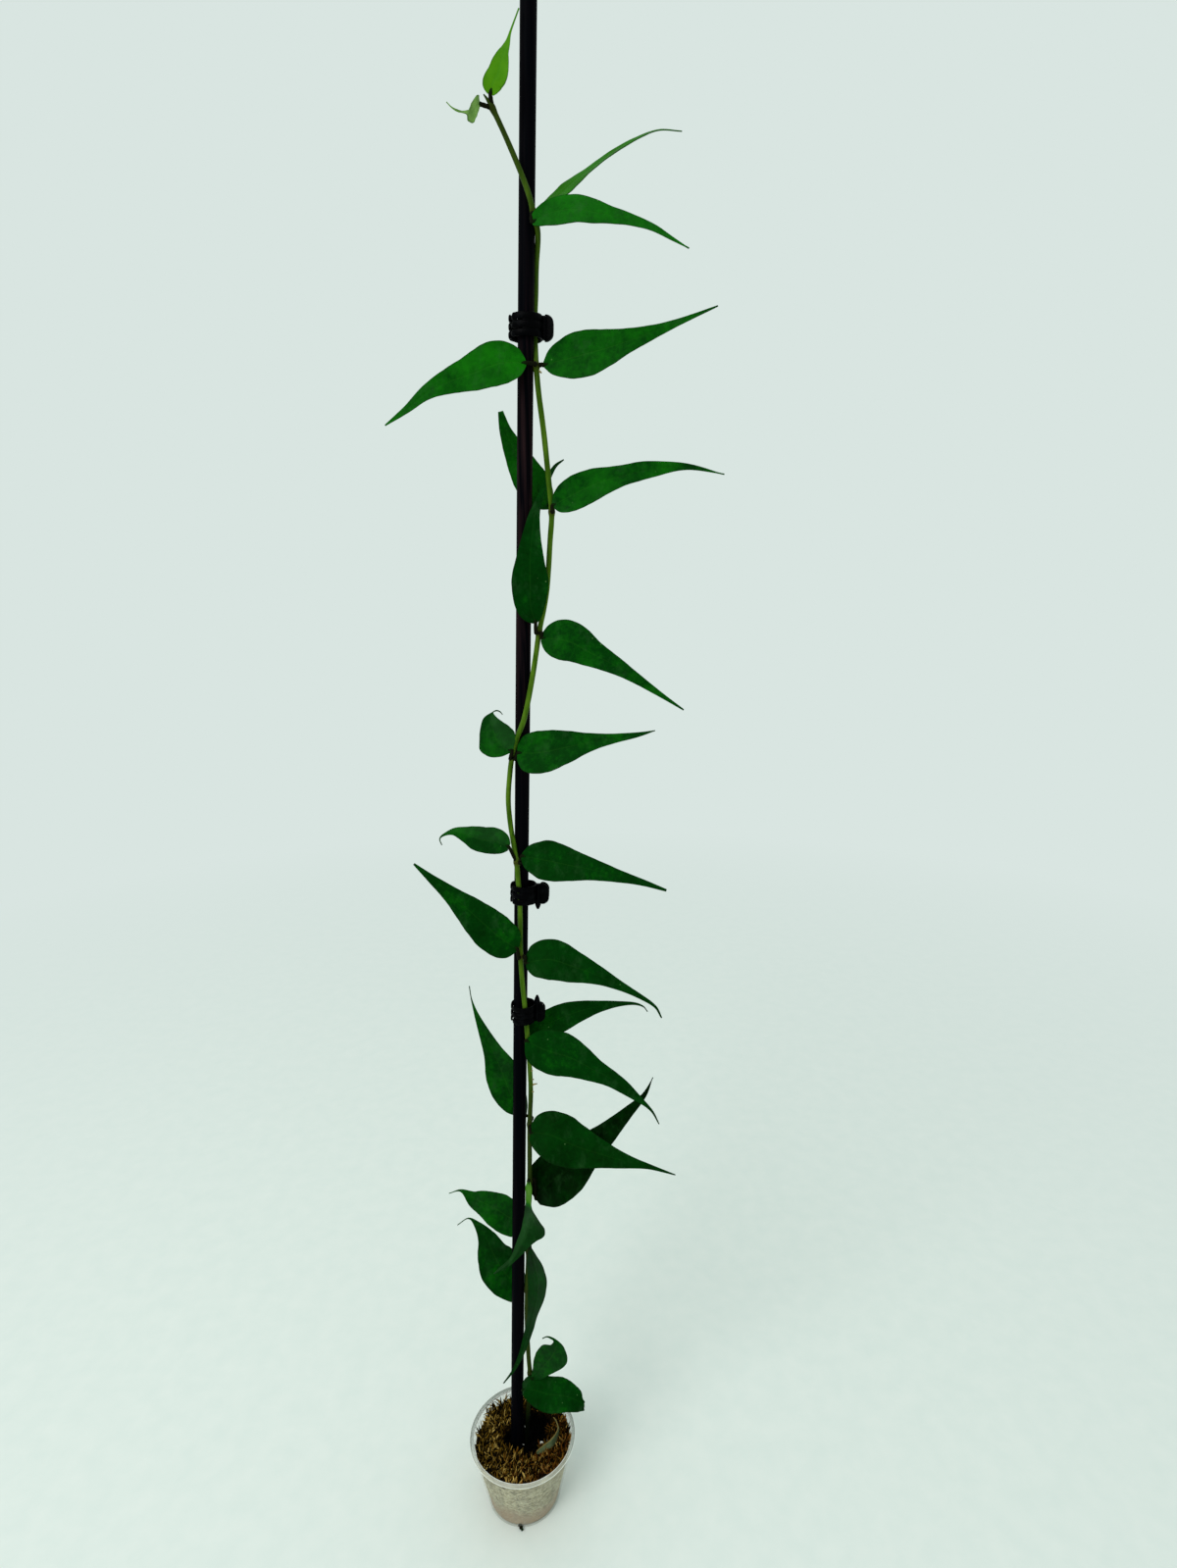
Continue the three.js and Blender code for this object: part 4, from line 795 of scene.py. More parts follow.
def withered_material(colours):
    """Withered leaf: pale grey-green, dry and papery, browner along its edge."""
    look = Finish("withered_leaf", colours.withered, Specular_IOR_Level=0.25)
    clouds = look.noise(300.0, 5.0)
    look.lay(colours.withered_dark, clouds, 0.3, 0.7)
    look.lay(colours.moss_gold, look.off_middle(look.surface_map()[0]), 0.75, 1.0, 0.0, 0.6)
    return look.finish(clouds, (0.6, 0.8), clouds, 0.0006)


def floor_material(colours):
    """A pale floor with a faint paper grain, which turns into the background's own light far from the plant."""
    look = Finish("pale_floor", colours.floor, Roughness=0.9, Specular_IOR_Level=0.2)
    look.lay(colours.floor_shade, look.noise(60.0, 4.0), 0.3, 0.7)
    look.put(look.colour, look.shader.inputs["Base Color"])
    far = look.ramp(look.distance(look.place), 0.35, 1.6)
    glow = look.node("ShaderNodeEmission", {"Color": colours.background}).outputs[0]
    blend = look.node("ShaderNodeMixShader", {0: far, 1: look.shader.outputs[0], 2: glow})
    look.put(blend.outputs[0], look.tree.nodes["Material Output"].inputs["Surface"])
    return look.material


# Leaves

def half_width(leaf, t):
    """Half the blade's width along it: a smooth curve through the leaf's own half widths, which are given at
    even steps of the square root of t, so that its start is round."""
    half = np.array(leaf["half"], dtype=float)[:, None]
    return np.maximum(catmull_rom(half, np.sqrt(t))[0][:, 0], np.where(t < 0.5, LEAF["stub"], LEAF["tip"]))


def leaf_directions(leaf, t, slope):
    """Across and square to the blade: the face's own direction, made square to the midrib and rolled about it
    by an angle that changes up to the blade's middle."""
    up, turn = math.radians(leaf["up"]), math.radians(leaf.get("turn", 0))
    face = np.array([math.cos(up) * math.sin(turn), -math.cos(up) * math.cos(turn), math.sin(up)])
    tangent = unit(slope)
    normal = unit(face - tangent * (tangent @ face)[:, None])
    roll = leaf.get("roll", 0)
    rolled = np.radians(roll + (leaf.get("roll_tip", roll) - roll) * np.minimum(2 * t, 1))[:, None]
    normal = normal * np.cos(rolled) + np.cross(tangent, normal) * np.sin(rolled)
    return np.cross(tangent, normal), normal


def blade_layout(leaf, joint, t):
    """The midrib, its slope, the steps from it to the left and the right edge, and the face's direction."""
    def curve(key):
        """Where one of the leaf's own lines runs, and its slope."""
        return catmull_rom(joint + np.array(leaf[key], dtype=float), t)

    if "left" in leaf:
        left, right = curve("left")[0], curve("right")[0]
        way = curve("way")[0] if "way" in leaf else (left + right) / 2
        slope = np.gradient(way, t, axis=0)
        return way, slope, left - way, right - way, unit(np.cross(right - left, slope))
    way, slope = curve("way")
    side, normal = leaf_directions(leaf, t, slope)
    reach = side * half_width(leaf, t)[:, None]
    return way, slope, -reach, reach, normal


def blade(leaf, joint, phase, sizes):
    """The blade as a closed surface of t along it and s across it, and its midrib with its directions. Its
    middle layer lies s times the way to an edge off the midrib and is lifted by s squared times a fold and a
    slow wave, and by a fine ripple near the edge. Its two faces stand half a thickness off, with a groove over
    the midrib and a rib under it. The edge is crinkled by two waves, and a ragged tip is torn by two more."""
    t = (np.arange(LEAF["rows"] + 1) / LEAF["rows"]) ** LEAF["packing"]
    s = np.sin(0.5 * np.pi * np.linspace(-1, 1, LEAF["columns"] + 1))
    way, slope, left, right, normal = blade_layout(leaf, joint, t)
    half, tangent = (np.linalg.norm(right - left, axis=1) / 2)[:, None], unit(slope)
    t = t[:, None]
    turn = 2 * np.pi * t
    wide = np.minimum(half / LEAF["full_wave"], 1)
    other = np.where(s > 0, 2.0, 0.0)
    slow = sizes.leaf_wave / MM * np.sin(LEAF["waves"] * turn + phase + other)
    fine = LEAF["ripple"] * np.sin(LEAF["ripples"] * turn + 3 * phase + 2 * other) * np.abs(s) ** 5
    lift = s**2 * (half * LEAF["fold"] + slow * wide) + fine * wide
    crinkle = 1 + LEAF["crinkle"] * np.abs(s) ** 3 * (np.sin(7.3 * turn + phase + other)
                                                      + 0.6 * np.sin(17.1 * turn + 2 * phase + 3 * other))
    full = np.minimum(half / LEAF["full_thickness"], 1)
    thick = sizes.leaf_edge / MM + (sizes.leaf_thickness - sizes.leaf_edge) / MM * (1 - s**2) * full
    ridge = np.exp(-((s * half / LEAF["groove_width"]) ** 2)) * full
    reach = (np.abs(s) * crinkle)[..., None] * np.where(s[None, :, None] < 0, left[:, None], right[:, None])
    torn = leaf.get("ragged", 0) * t**14 * (np.sin(9 * s) + 0.7 * np.sin(23 * s + 1) - s**2)
    centre = way[:, None] + reach + lift[..., None] * normal[:, None] + torn[..., None] * tangent[:, None]
    upper = centre + (thick / 2 - LEAF["groove"] * ridge)[..., None] * normal[:, None]
    under = centre - (thick / 2 + LEAF["rib"] * ridge * (1 - t))[..., None] * normal[:, None]
    rings = np.concatenate([upper, under[:, ::-1]], axis=1)
    u = np.concatenate([(1 + s) / 2, (1 + s[::-1]) / 2])
    uv = np.stack([np.broadcast_to(u, rings.shape[:2]), np.broadcast_to(t, rings.shape[:2])], axis=-1)
    look = np.concatenate([np.zeros(LEAF["columns"] + 1), np.ones(LEAF["columns"]), [0]]).astype(int)
    part = shell(rings, look, uv)
    across, along = part["uvs"].T
    pale, end = leaf.get("pale", (0.0, 1.0))
    # The leaf's tone, partly its own green and partly painted shade and light
    part["tone"] = leaf["tone"] + pale * np.clip((end - along) * 12, 0, 1)
    # The share of painted grey sheen on each point, most beside the right edge
    part["grey_sheen"] = leaf.get("grey_sheen", 0.0) * (0.25 + 0.75 * np.clip((across - 0.5) * 8 + 0.5, 0, 1))
    if "pale" in leaf:
        part["grey_sheen"] = part["grey_sheen"] * np.clip((along - end) * 12, 0, 1)
    return part, way, tangent


def stalk(leaf, height, way, tangent):
    """The leaf's stalk: a wrinkled tube, swollen at its foot and thinner at its end, on a curve from beside
    the stem, over its knee and its bend, into the blade."""
    joint, base = stem_at(height)[0], way[0]
    bend = [joint + np.array(leaf["via"], dtype=float)] if "via" in leaf else []
    stem_way = unit(stem_at(height + 1)[0] - stem_at(height - 1)[0])
    out = (bend[0] if bend else base) - joint
    out = unit(out - stem_way * (out @ stem_way))
    start = joint + out * (stem_radius(height)[0] + STALK["off"])
    path = [start, start + out * STALK["knee"], *bend, base, base + tangent[0] * STALK["reach"]]
    if leaf.get("straight"):
        path[:2] = [joint, joint + 0.5 * (base - joint)]
    shares = np.linspace(0, 1, STALK["rows"])
    curve, _ = catmull_rom(path, shares)
    swell = 1 + STALK["foot"] * np.exp(-((shares / 0.12) ** 2))
    radii = np.interp(shares, [STALK["thins_from"], 1], [STALK["radius"], STALK["end"]]) * swell
    wrinkle = 1 + STALK["wrinkle"] * np.sin(9 * np.pi * shares[:, None] + 2 * around(STALK["sides"]))
    chord = path[-1] - path[0]
    steep = abs(chord[2]) > 0.8 * np.linalg.norm(chord)
    rings = tube_rings(curve, radii[:, None] * wrinkle, STALK["sides"], (0, 1, 0) if steep else (0, 0, 1))
    return shell(rings, 2)


def make_leaf(name, leaf, index, materials, sizes):
    """One leaf: its blade and its stalk as one piece."""
    height = JOINTS[leaf["at"]]
    body, way, tangent = blade(leaf, stem_at(height)[0], LEAF["phase"] * index, sizes)
    young = name in YOUNG_LEAVES
    looks = [materials["young" if young else "face"], materials["back"], materials["stalk"]]
    piece(name + "_blade", [body, stalk(leaf, height, way, tangent)], looks, [name])


# Stem

def make_stem(colours, sizes):
    """The stem's tube follows its route in short steps, waved round its girth and thinner near its tip, where
    it runs on into the end bud. Each rootlet is a tapered tube of its own."""
    height = np.arange(STEM["bottom"], STEM["apex"], STEM["step"])
    sides = STEM["sides"]
    angle = around(sides)
    girth = (1 + 0.03 * np.sin(3 * angle + height[:, None] / 40)
             + 0.015 * np.sin(height[:, None] / 2.3 + 2 * angle))
    thinner = STEM["thinner"] * np.clip((height - STEM["thin_from"]) / STEM["thin_over"], 0, 1)
    radii = stem_radius(height) * sizes.stem_radius / (STEM["radius"] * MM) * (1 - thinner)
    tip, rows = stem_at(STEM["apex"])[0], BUD["rows"]
    bud = np.vstack([tip, tip + np.array(BUD["from"], dtype=float)])
    path = np.vstack([stem_at(height), catmull_rom(bud, np.linspace(0, 1, rows))[0]])
    radii = np.concatenate([radii, np.interp(np.linspace(0, 2, rows), [0, 1, 2], BUD["radius"])])
    girth = np.vstack([girth, np.ones((rows, sides))])
    share = (stem_radius(path[:, 2]) - STEM["radius"]) / STEM["node_swell"]
    along = np.linspace(0, 1, len(path))
    uv = np.stack(np.broadcast_arrays(share[:, None], along[:, None] + np.zeros(sides)), axis=-1)
    parts = [shell(tube_rings(path, radii[:, None] * girth, sides, (0, 1, 0)), uv=uv)]
    for root in ROOTLETS:
        start = stem_at(root["height"])[0]
        way = np.array(root["way"], dtype=float)
        points = [start, start + 0.5 * way + (0, 0, 0.25), start + way]
        shares = np.linspace(0, 1, 14)
        taper = root["radius"] * (1 - 0.55 * shares**2) * (1 + 0.12 * np.sin(22 * shares))
        parts.append(shell(tube_rings(catmull_rom(points, shares)[0], taper, 9), 1))
    piece("stem_vine", parts, [stem_material(colours), rootlet_material(colours)], ["stem"])


# Moss

def moss_tufts():
    """The hills on the moss, drawn one by one from the same numbers as the part's source uses."""
    state = SEED
    draws = []
    for _ in range(4 * MOSS["tufts"]):
        state = (state * 1664525 + 1013904223) % 4294967296
        draws.append(state / 4294967296)
    angle, out, reach, rise = np.array(draws).reshape(-1, 4).T
    out = cup_radius(CUP["height"]) * np.sqrt(out)
    reach = MOSS["reach"][0] + (MOSS["reach"][1] - MOSS["reach"][0]) * reach
    rise = MOSS["rise"][0] + (MOSS["rise"][1] - MOSS["rise"][0]) * rise
    return out * np.cos(2 * np.pi * angle), out * np.sin(2 * np.pi * angle), reach, rise


# The hills, which are the same for every call of the moss's height
TUFTS = moss_tufts()


def moss_height(x, y):
    """The moss's top: its level, less a fall towards the back left and a dip, plus a rise at the back and the
    sum of its hills up to a limit. Each hill is a round bell."""
    x, y = np.asarray(x, dtype=float), np.asarray(y, dtype=float)
    back_left = (y - x) / (math.sqrt(2) * CUP["rim_radius"])
    hill_x, hill_y, reach, rise = TUFTS
    hills = rise * np.exp(-((x[..., None] - hill_x) ** 2 + (y[..., None] - hill_y) ** 2) / reach**2)
    raised = np.minimum(hills.sum(axis=-1), MOSS["most_rise"])
    back = np.clip((y - MOSS["back_from"]) / MOSS["back_reach"], 0, 1)
    back = MOSS["back_rise"] * back * np.clip((x - MOSS["side_from"]) / MOSS["side_reach"], 0, 1)
    return MOSS["level"] - MOSS["fall_back_left"] * np.maximum(back_left, 0) - MOSS["dip"] + raised + back


def moss_well(x, y):
    """How far the moss sinks into the dark hollow round the stake and the stem: the largest of round bells."""
    wells = [np.exp(-(((x - cx) ** 2 + (y - cy) ** 2) / reach**2) ** 2) for cx, cy, reach in MOSS["shaded_hollow"]]
    return MOSS["hollow_depth"] * np.max(wells, axis=0)


def make_moss_bed(colours):
    """The block of moss: rings over its top, out to the cup's wall and down it to the floor. The sum of
    slanting waves roughens its top, and the product of two waves its side."""
    sectors, top_rings, wall_rings = MOSS["sectors"], MOSS["top_rings"], MOSS["wall_rings"]
    random = np.random.default_rng(SEED)
    clear = CUP["wall"] + MOSS["gap"] + 0.1
    edge = MOSS["level"] - MOSS["fall_back_left"]
    angle = around(sectors)
    out = (cup_radius(edge) - clear) * np.arange(1, top_rings + 1)[:, None] / top_rings
    x, y = out * np.cos(angle), out * np.sin(angle)
    waves = np.zeros_like(x)
    for _ in range(MOSS["waves"]):
        across, phase = random.normal(0, 1.3, 2), random.uniform(0, 2 * np.pi)
        waves += MOSS["wave"] * np.sin(across[0] * x + across[1] * y + phase)
    top = np.stack([x, y, moss_height(x, y) - moss_well(x, y) + waves - MOSS["sunk"]], axis=-1)
    fall = np.linspace(0, 1, wall_rings + 1)[1:, None]
    foot = CUP["floor"] + MOSS["gap"]
    z = top[-1, :, 2] * (1 - fall) + foot * fall
    bumps = np.abs(np.sin(5 * angle + 23 * fall) * np.sin(31 * angle - 9 * fall))
    radius = cup_radius(z) - clear - MOSS["pressed"] * bumps
    wall = np.stack([radius * np.cos(angle), radius * np.sin(angle), z], axis=-1)
    part = shell(np.concatenate([top, wall]))
    looks = part["looks"].copy()
    looks[(top_rings - 1) * sectors:(top_rings + wall_rings - 1) * sectors] = 1
    part["looks"] = looks
    # The hollow's share, by which the bed's colour is painted near black as shade
    part["tone"] = moss_well(part["points"][:, 0], part["points"][:, 1]) / MOSS["hollow_depth"]
    piece("moss_bed", [part], [moss_bed_material(colours), moss_side_material(colours)], ["moss"])


def strand_points(base, way, length, width, curl):
    """Tapered strands as arrays: each is a curve of a few points that starts at its base, goes its way and
    curls over by the square of its length, with a three-sided section that shrinks to its tip."""
    count = len(base)
    along = np.linspace(0, 1, STRANDS["rows"])
    side = unit(np.cross(way, (0.31, 0.17, 0.93)))
    lean = unit(np.cross(way, side))
    bend = curl[:, None, None] * (along**2)[None, :, None] * lean[:, None]
    path = base[:, None] + length[:, None, None] * (along[None, :, None] * way[:, None] + 0.5 * bend)
    angle = around(3)
    radius = width[:, None] / 2 * (0.25 + np.sin(np.pi * (0.12 + 0.86 * along)))[None]
    ring = (side[:, None, None] * np.cos(angle)[None, None, :, None] * 0.5
            + lean[:, None, None] * np.sin(angle)[None, None, :, None])
    return (path[:, :, None] + radius[:, :, None, None] * ring).reshape(count, -1, 3)


def strand_part(points, tone):
    """The strands' faces: a band of three quads from each point to the next, and a triangle at each end."""
    count, each = points.shape[:2]
    rows = each // 3
    i, k = np.meshgrid(np.arange(rows - 1), np.arange(3), indexing="ij")
    after = (k + 1) % 3
    quads = np.stack([3 * i + k, 3 * i + after, 3 * i + 3 + after, 3 * i + 3 + k], axis=-1).reshape(-1, 4)
    ends = np.array([[0, 2, 1], [each - 3, each - 2, each - 1]])
    start = each * np.arange(count)[:, None, None]
    uv = np.stack([np.repeat(tone[:, None], each, axis=1),
                   np.tile(np.repeat(np.linspace(0, 1, rows), 3), (count, 1))], axis=-1)
    return {"points": points.reshape(-1, 3), "uvs": uv.reshape(-1, 2),
            "quads": (quads[None] + start).reshape(-1, 4), "triangles": (ends[None] + start).reshape(-1, 3),
            "looks": np.zeros(count * (len(quads) + 2), dtype=int)}


def make_moss_strands(colours, sizes):
    """Dry strands in tufts all over the moss, whose middles stand on a spiral with the golden angle. Each tuft
    has its own height, lean and tone, its strands spread from its middle, and it is short in the hollow, where
    its tone is also taken down to black as painted shade, long at the back left, rustier to the right and front
    and more golden to the left. No strand passes the cup's wall, and those beside the withered leaf or a crumb
    are short."""
    random = np.random.default_rng(SEED + 1)
    tufts, count = sizes.moss_tufts, sizes.moss_strands
    inside = cup_radius(MOSS["level"]) - CUP["wall"]
    order = np.arange(tufts) + 0.5
    angle, out = order * np.pi * (3 - math.sqrt(5)), (inside - 1.4) * np.sqrt(order / tufts)
    middle = np.stack([out * np.cos(angle), out * np.sin(angle)], axis=-1)
    middle = middle + random.normal(0, STRANDS["tuft_stray"], (tufts, 2))
    rise, shade = random.uniform(*STRANDS["tuft_rise"], tufts), random.normal(0, STRANDS["tuft_shade"], tufts)
    lean = random.normal(0, STRANDS["tuft_lean"], (tufts, 2))
    owner = np.arange(count) % tufts
    offset = random.normal(0, STRANDS["spread"], (count, 2))
    x, y = (middle[owner] + offset).T
    deep = moss_well(x, y)
    share = deep / MOSS["hollow_depth"]
    foot = moss_height(x, y) - deep + rise[owner] * (1 - share) - STRANDS["sunk"]
    stray = random.normal(0, STRANDS["stray"], (count, 2))
    way = offset * STRANDS["splay"] + lean[owner] + stray
    way = unit(np.column_stack([way, random.uniform(*STRANDS["up"], count)]))
    ragged = np.clip((y - x) / (math.sqrt(2) * CUP["rim_radius"]) - 0.45, 0, 1)
    length = sizes.strand_length / MM * random.uniform(*STRANDS["vary"], count) * (1 - 0.5 * share + ragged)
    line = catmull_rom(WITHERED["way"], np.linspace(0, 1, 40))[0]
    near = np.hypot(x[:, None] - line[:, 0], y[:, None] - line[:, 1]).min(axis=1)
    crumbs = np.array(PERLITE)
    beside = (np.hypot(x[:, None] - crumbs[:, 0], y[:, None] - crumbs[:, 1]) - crumbs[:, 2]).min(axis=1)
    length *= np.where((near < STRANDS["by_leaf"]) | (beside < STRANDS["by_crumb"]), STRANDS["short"], 1.0)
    width = random.uniform(*STRANDS["width"], count)
    curl = random.uniform(-STRANDS["curl"], STRANDS["curl"], count)
    points = strand_points(np.stack([x, y, foot], axis=-1), way, length, width, curl)
    radius = np.hypot(points[..., 0], points[..., 1])
    limit = cup_radius(np.minimum(points[..., 2], CUP["height"] - 3.0)) - CUP["wall"] - STRANDS["clear"]
    points[..., :2] *= np.minimum(1, limit / np.maximum(radius, 1e-6))[..., None]
    right = (x - 0.55 * y) / CUP["rim_radius"]
    tone = random.normal(*STRANDS["tone"], count) + shade[owner]
    # Painted shade: each strand's tone is taken down towards black by the hollow's share
    part = strand_part(points, np.clip(tone, 0.08, 1.0) * np.clip(1 - 1.3 * share, 0, 1))
    rust = np.clip(0.6 * right + shade[owner] + random.normal(0.1, 0.2, count), 0, 1)
    part["tone"] = np.repeat(rust, points.shape[1])
    piece("moss_strands", [part], [strand_material(colours)], ())


def make_perlite(colours):
    """White crumbs on the moss: small balls whose radius is waved all round."""
    random = np.random.default_rng(SEED + 2)
    parts = []
    polar, turn = np.linspace(0.12, np.pi - 0.12, CRUMB["rows"])[:, None], around(CRUMB["sides"])
    for x, y, size in PERLITE:
        a, b = random.uniform(0, 6, 2)
        radius = size * (1 + 0.16 * np.sin(3 * turn + a) * np.sin(2 * polar) + 0.12 * np.cos(4 * polar + b))
        ball = np.stack([radius * np.sin(polar) * np.cos(turn), radius * np.sin(polar) * np.sin(turn),
                         radius * np.cos(polar) + 0 * turn], axis=-1)
        top = moss_height(x, y) - moss_well(x, y) + CRUMB["lift"]
        parts.append(shell(ball + np.array([x, y, float(top)])))
    piece("perlite", parts, [perlite_material(colours)], ())


def make_withered_leaf(colours, sizes):
    """The withered leaf: a leaf's blade laid level on the moss, at the moss's middle height under it."""
    way = [(x, y, 0) for x, y in WITHERED["way"]]
    part, _, _ = blade({**WITHERED, "way": way}, np.zeros(3), WITHERED["phase"], sizes)
    points = part["points"]
    points[:, 2] += moss_height(points[:, 0], points[:, 1]).mean() + WITHERED["lift"]
    dry = withered_material(colours)
    piece("withered_leaf_blade", [part], [dry, dry], ["withered_leaf"])


# Cup and stake

def make_root_tip(colours):
    """A short dark root that pokes out under the cup's foot: a knobbly tapered tube."""
    shares = np.linspace(0, 1, 16)
    radii = ROOT_TIP["radius"] * (1 - 0.4 * shares**2) * (1 + 0.22 * np.sin(14 * shares))
    rings = tube_rings(catmull_rom(ROOT_TIP["way"], shares)[0], radii, 10)
    piece("root_tip", [shell(rings)], [stalk_material(colours)], ())


def rounded(centre, radius, start, end, steps):
    """Points on an arc of a circle, from one angle to another in degrees."""
    angle = np.radians(np.linspace(start, end, steps + 1))
    return np.stack([centre[0] + radius * np.cos(angle), centre[1] + radius * np.sin(angle)], axis=-1)


def make_cup(colours):
    """The cup turned about its axis from one section: the base, a round foot, the tapered wall, the rolled rim
    as three quarters of a circle, and the inner wall and floor. Four round holes are cut in its floor."""
    lip, wall, low = CUP["height"] - 2 * CUP["bead"], CUP["wall"], CUP["floor"]
    foot, edge = CUP["foot_round"], CUP["floor_round"]
    slope = (cup_radius(lip) - cup_radius(0)) / lip
    heights = np.linspace(foot, lip - 0.1, 30)
    outer = np.stack([cup_radius(heights), heights], axis=-1)
    bead = rounded((CUP["rim_radius"] - CUP["bead"], CUP["height"] - CUP["bead"]), CUP["bead"], -90, 180, 22)
    heights = np.linspace(lip - 0.4, low + edge, 26)
    inner = np.stack([cup_radius(heights) - wall, heights], axis=-1)
    floor_edge = rounded((cup_radius(low) - wall - edge + edge * slope, low + edge), edge, 0, -90, 5)
    base = np.stack([np.linspace(0.5, CUP["base_radius"] - foot, 12), np.zeros(12)], axis=-1)
    rise = rounded((CUP["base_radius"] - foot + foot * slope, foot), foot, -90, 0, 6)
    floor = np.stack([np.linspace(CUP["base_radius"] - 4, 0.5, 10), np.full(10, low)], axis=-1)
    profile = np.vstack([base, rise[1:-1], outer, bead[:-1], inner, floor_edge[1:], floor])
    turned = shell(lathe_rings(profile, CUP["sides"]))
    cup = piece("cup_shell", [turned], [cup_material(colours)], ["cup"])
    angles = math.radians(45) + around(DRAIN["count"])
    rod = lathe_rings([(DRAIN["radius"], -2.0), (DRAIN["radius"], 4.0)], 32)
    places = DRAIN["ring_radius"] * np.stack([np.cos(angles), np.sin(angles), np.zeros(len(angles))], axis=-1)
    rods = [shell(rod + place) for place in places]
    cutter = piece("drain_cutter", rods, [])
    cut = cup.modifiers.new("drain_holes", "BOOLEAN")
    cut.object = cutter
    cut.solver = "EXACT"
    bpy.context.view_layer.objects.active = cup
    bpy.ops.object.modifier_apply(modifier=cut.name)
    bpy.data.objects.remove(cutter)


def make_stake(colours):
    """The stake: a round rod along its leaning axis, with small bevels and a surface that is barely uneven."""
    radius, bevel, length = STAKE["radius"], STAKE["bevel"], STAKE["length"]
    ends = np.radians(np.linspace(0, 90, 5))
    foot = np.stack([radius - bevel * (1 - np.sin(ends)), bevel * (1 - np.cos(ends))], axis=-1)
    body = np.stack([np.full(STAKE["rows"], radius), np.linspace(2, length - 2, STAKE["rows"])], axis=-1)
    head = np.stack([foot[::-1, 0], length - foot[::-1, 1]], axis=-1)
    out, along = np.vstack([foot, body, head]).T[..., None]
    uneven = 1 - STAKE["uneven"] * (1 + np.sin(along / 31 + 2 * around(STAKE["sides"]))) / 2
    path = stake_at(CUP["floor"] + STAKE["stand"])[0] + along * stake_way()
    rings = tube_rings(path, out * uneven, STAKE["sides"], (0, 1, 0))
    piece("stake_rod", [shell(rings)], [stake_material(colours)], ["stake"])


# Clips

def rounded_section(half_across, half_high, power, steps):
    """A rounded rectangle as factors for a section: the point at an angle on the curve where the shares of the
    two half sizes, raised to a power, add up to one."""
    angle = around(steps)
    size = (np.abs(np.cos(angle)) ** power + np.abs(np.sin(angle)) ** power) ** (-1 / power)
    return half_across * size * np.cos(angle), half_high * size * np.sin(angle)


def bent_bar(radius, start, end, height, half_across, half_high, power, steps, swell=None):
    """A bar bent about the Z axis: a rounded section carried round an arc, larger where swell says."""
    angle = np.radians(np.linspace(start, end, steps))
    across, high = rounded_section(half_across, half_high, power, 16)
    grow = np.ones(steps) if swell is None else swell(np.linspace(0, 1, steps))
    out = radius + across[None] * grow[:, None]
    z = height + high[None] * grow[:, None]
    return np.stack([out * np.cos(angle)[:, None], out * np.sin(angle)[:, None], z + 0 * out], axis=-1)


def clip_fingers():
    """Three fingers, each a ring with a narrow slot at the back, that swells into knuckles and narrows at its
    two ends."""
    def swell(share):
        """How thick a finger is at a share of its length."""
        ends = np.clip(np.minimum(share, 1 - share) / 0.03, 0.35, 1)
        return ends * (1 - CLIP["knuckle"] * np.abs(np.sin(np.pi * CLIP["knuckles"] * share)) ** 3)

    half_slot = math.degrees(CLIP["slot_width"] / 2 / CLIP["ring"])
    start, end = CLIP["slot_at"] - 360 + half_slot, CLIP["slot_at"] - half_slot
    return [shell(bent_bar(CLIP["ring"], start, end, row * CLIP["pitch"], *CLIP["finger"], 2.6, 120, swell))
            for row in (-1, 0, 1)]


def clip_plate():
    """The plate that the fingers stand on: a curved sheet, open on the left."""
    middle = (CLIP["inner"] + CLIP["outer"]) / 2
    half = (CLIP["outer"] - CLIP["inner"]) / 2
    return shell(bent_bar(middle, -CLIP["open"], CLIP["open"], 0, half, CLIP["height"] / 2, 8, 60))


def clip_hub(spike, point):
    """The hub: a round post with ring grooves, drawn out to a spike at one end."""
    half = CLIP["hub_height"] / 2
    z = np.concatenate([np.linspace(-half, half, 40), half + np.linspace(0.15, 1, 10) * point])
    body = CLIP["hub"] * (1 - CLIP["groove"] * np.abs(np.sin(2.2 * z)))
    cone = CLIP["hub"] + (CLIP["spike_end"] - CLIP["hub"]) * np.clip((z - half) / point, 0, 1) ** 2
    profile = np.stack([np.where(z <= half, body, cone), z], axis=-1)
    rings = lathe_rings(profile, 20) * (1, 1, spike) + np.array([CLIP["outer"] + CLIP["hub_out"], 0, 0])
    return shell(rings)


def clip_lever(side, reach):
    """A thumb lever: a D-shaped outline drawn in at both faces, stood off the hub and turned to its side by the
    spread."""
    angle = np.linspace(-np.pi / 2, np.pi / 2, 25)
    tall, corner = CLIP["tall"] / 2, CLIP["round"]
    root = tall - CLIP["root"]
    x = np.concatenate([[0.0], reach - corner + corner * np.cos(angle), np.zeros(5)])
    z = np.concatenate([[-root], np.sign(np.sin(angle)) * (tall - corner) + corner * np.sin(angle),
                        np.linspace(root, -root, 6)[:-1]])
    middle = np.array([reach * 0.45, 0.0])
    depth = np.array([-1, -0.98, -0.6, 0.6, 0.98, 1]) * CLIP["thick"] / 2
    inset = np.array([0.86, 0.94, 1, 1, 0.94, 0.86])
    outline = np.stack([x, z], axis=-1)
    shrunk = middle + (outline - middle)[None] * inset[:, None, None]
    depths = np.broadcast_to(depth[:, None], shrunk.shape[:2])
    rings = np.stack([shrunk[..., 0], depths, shrunk[..., 1]], axis=-1)
    turn = math.radians(side * CLIP["spread"])
    rotation = np.array([[math.cos(turn), -math.sin(turn), 0], [math.sin(turn), math.cos(turn), 0], [0, 0, 1]])
    return shell(rings @ rotation.T + np.array([CLIP["outer"] + CLIP["hub_out"], 0, 0]))


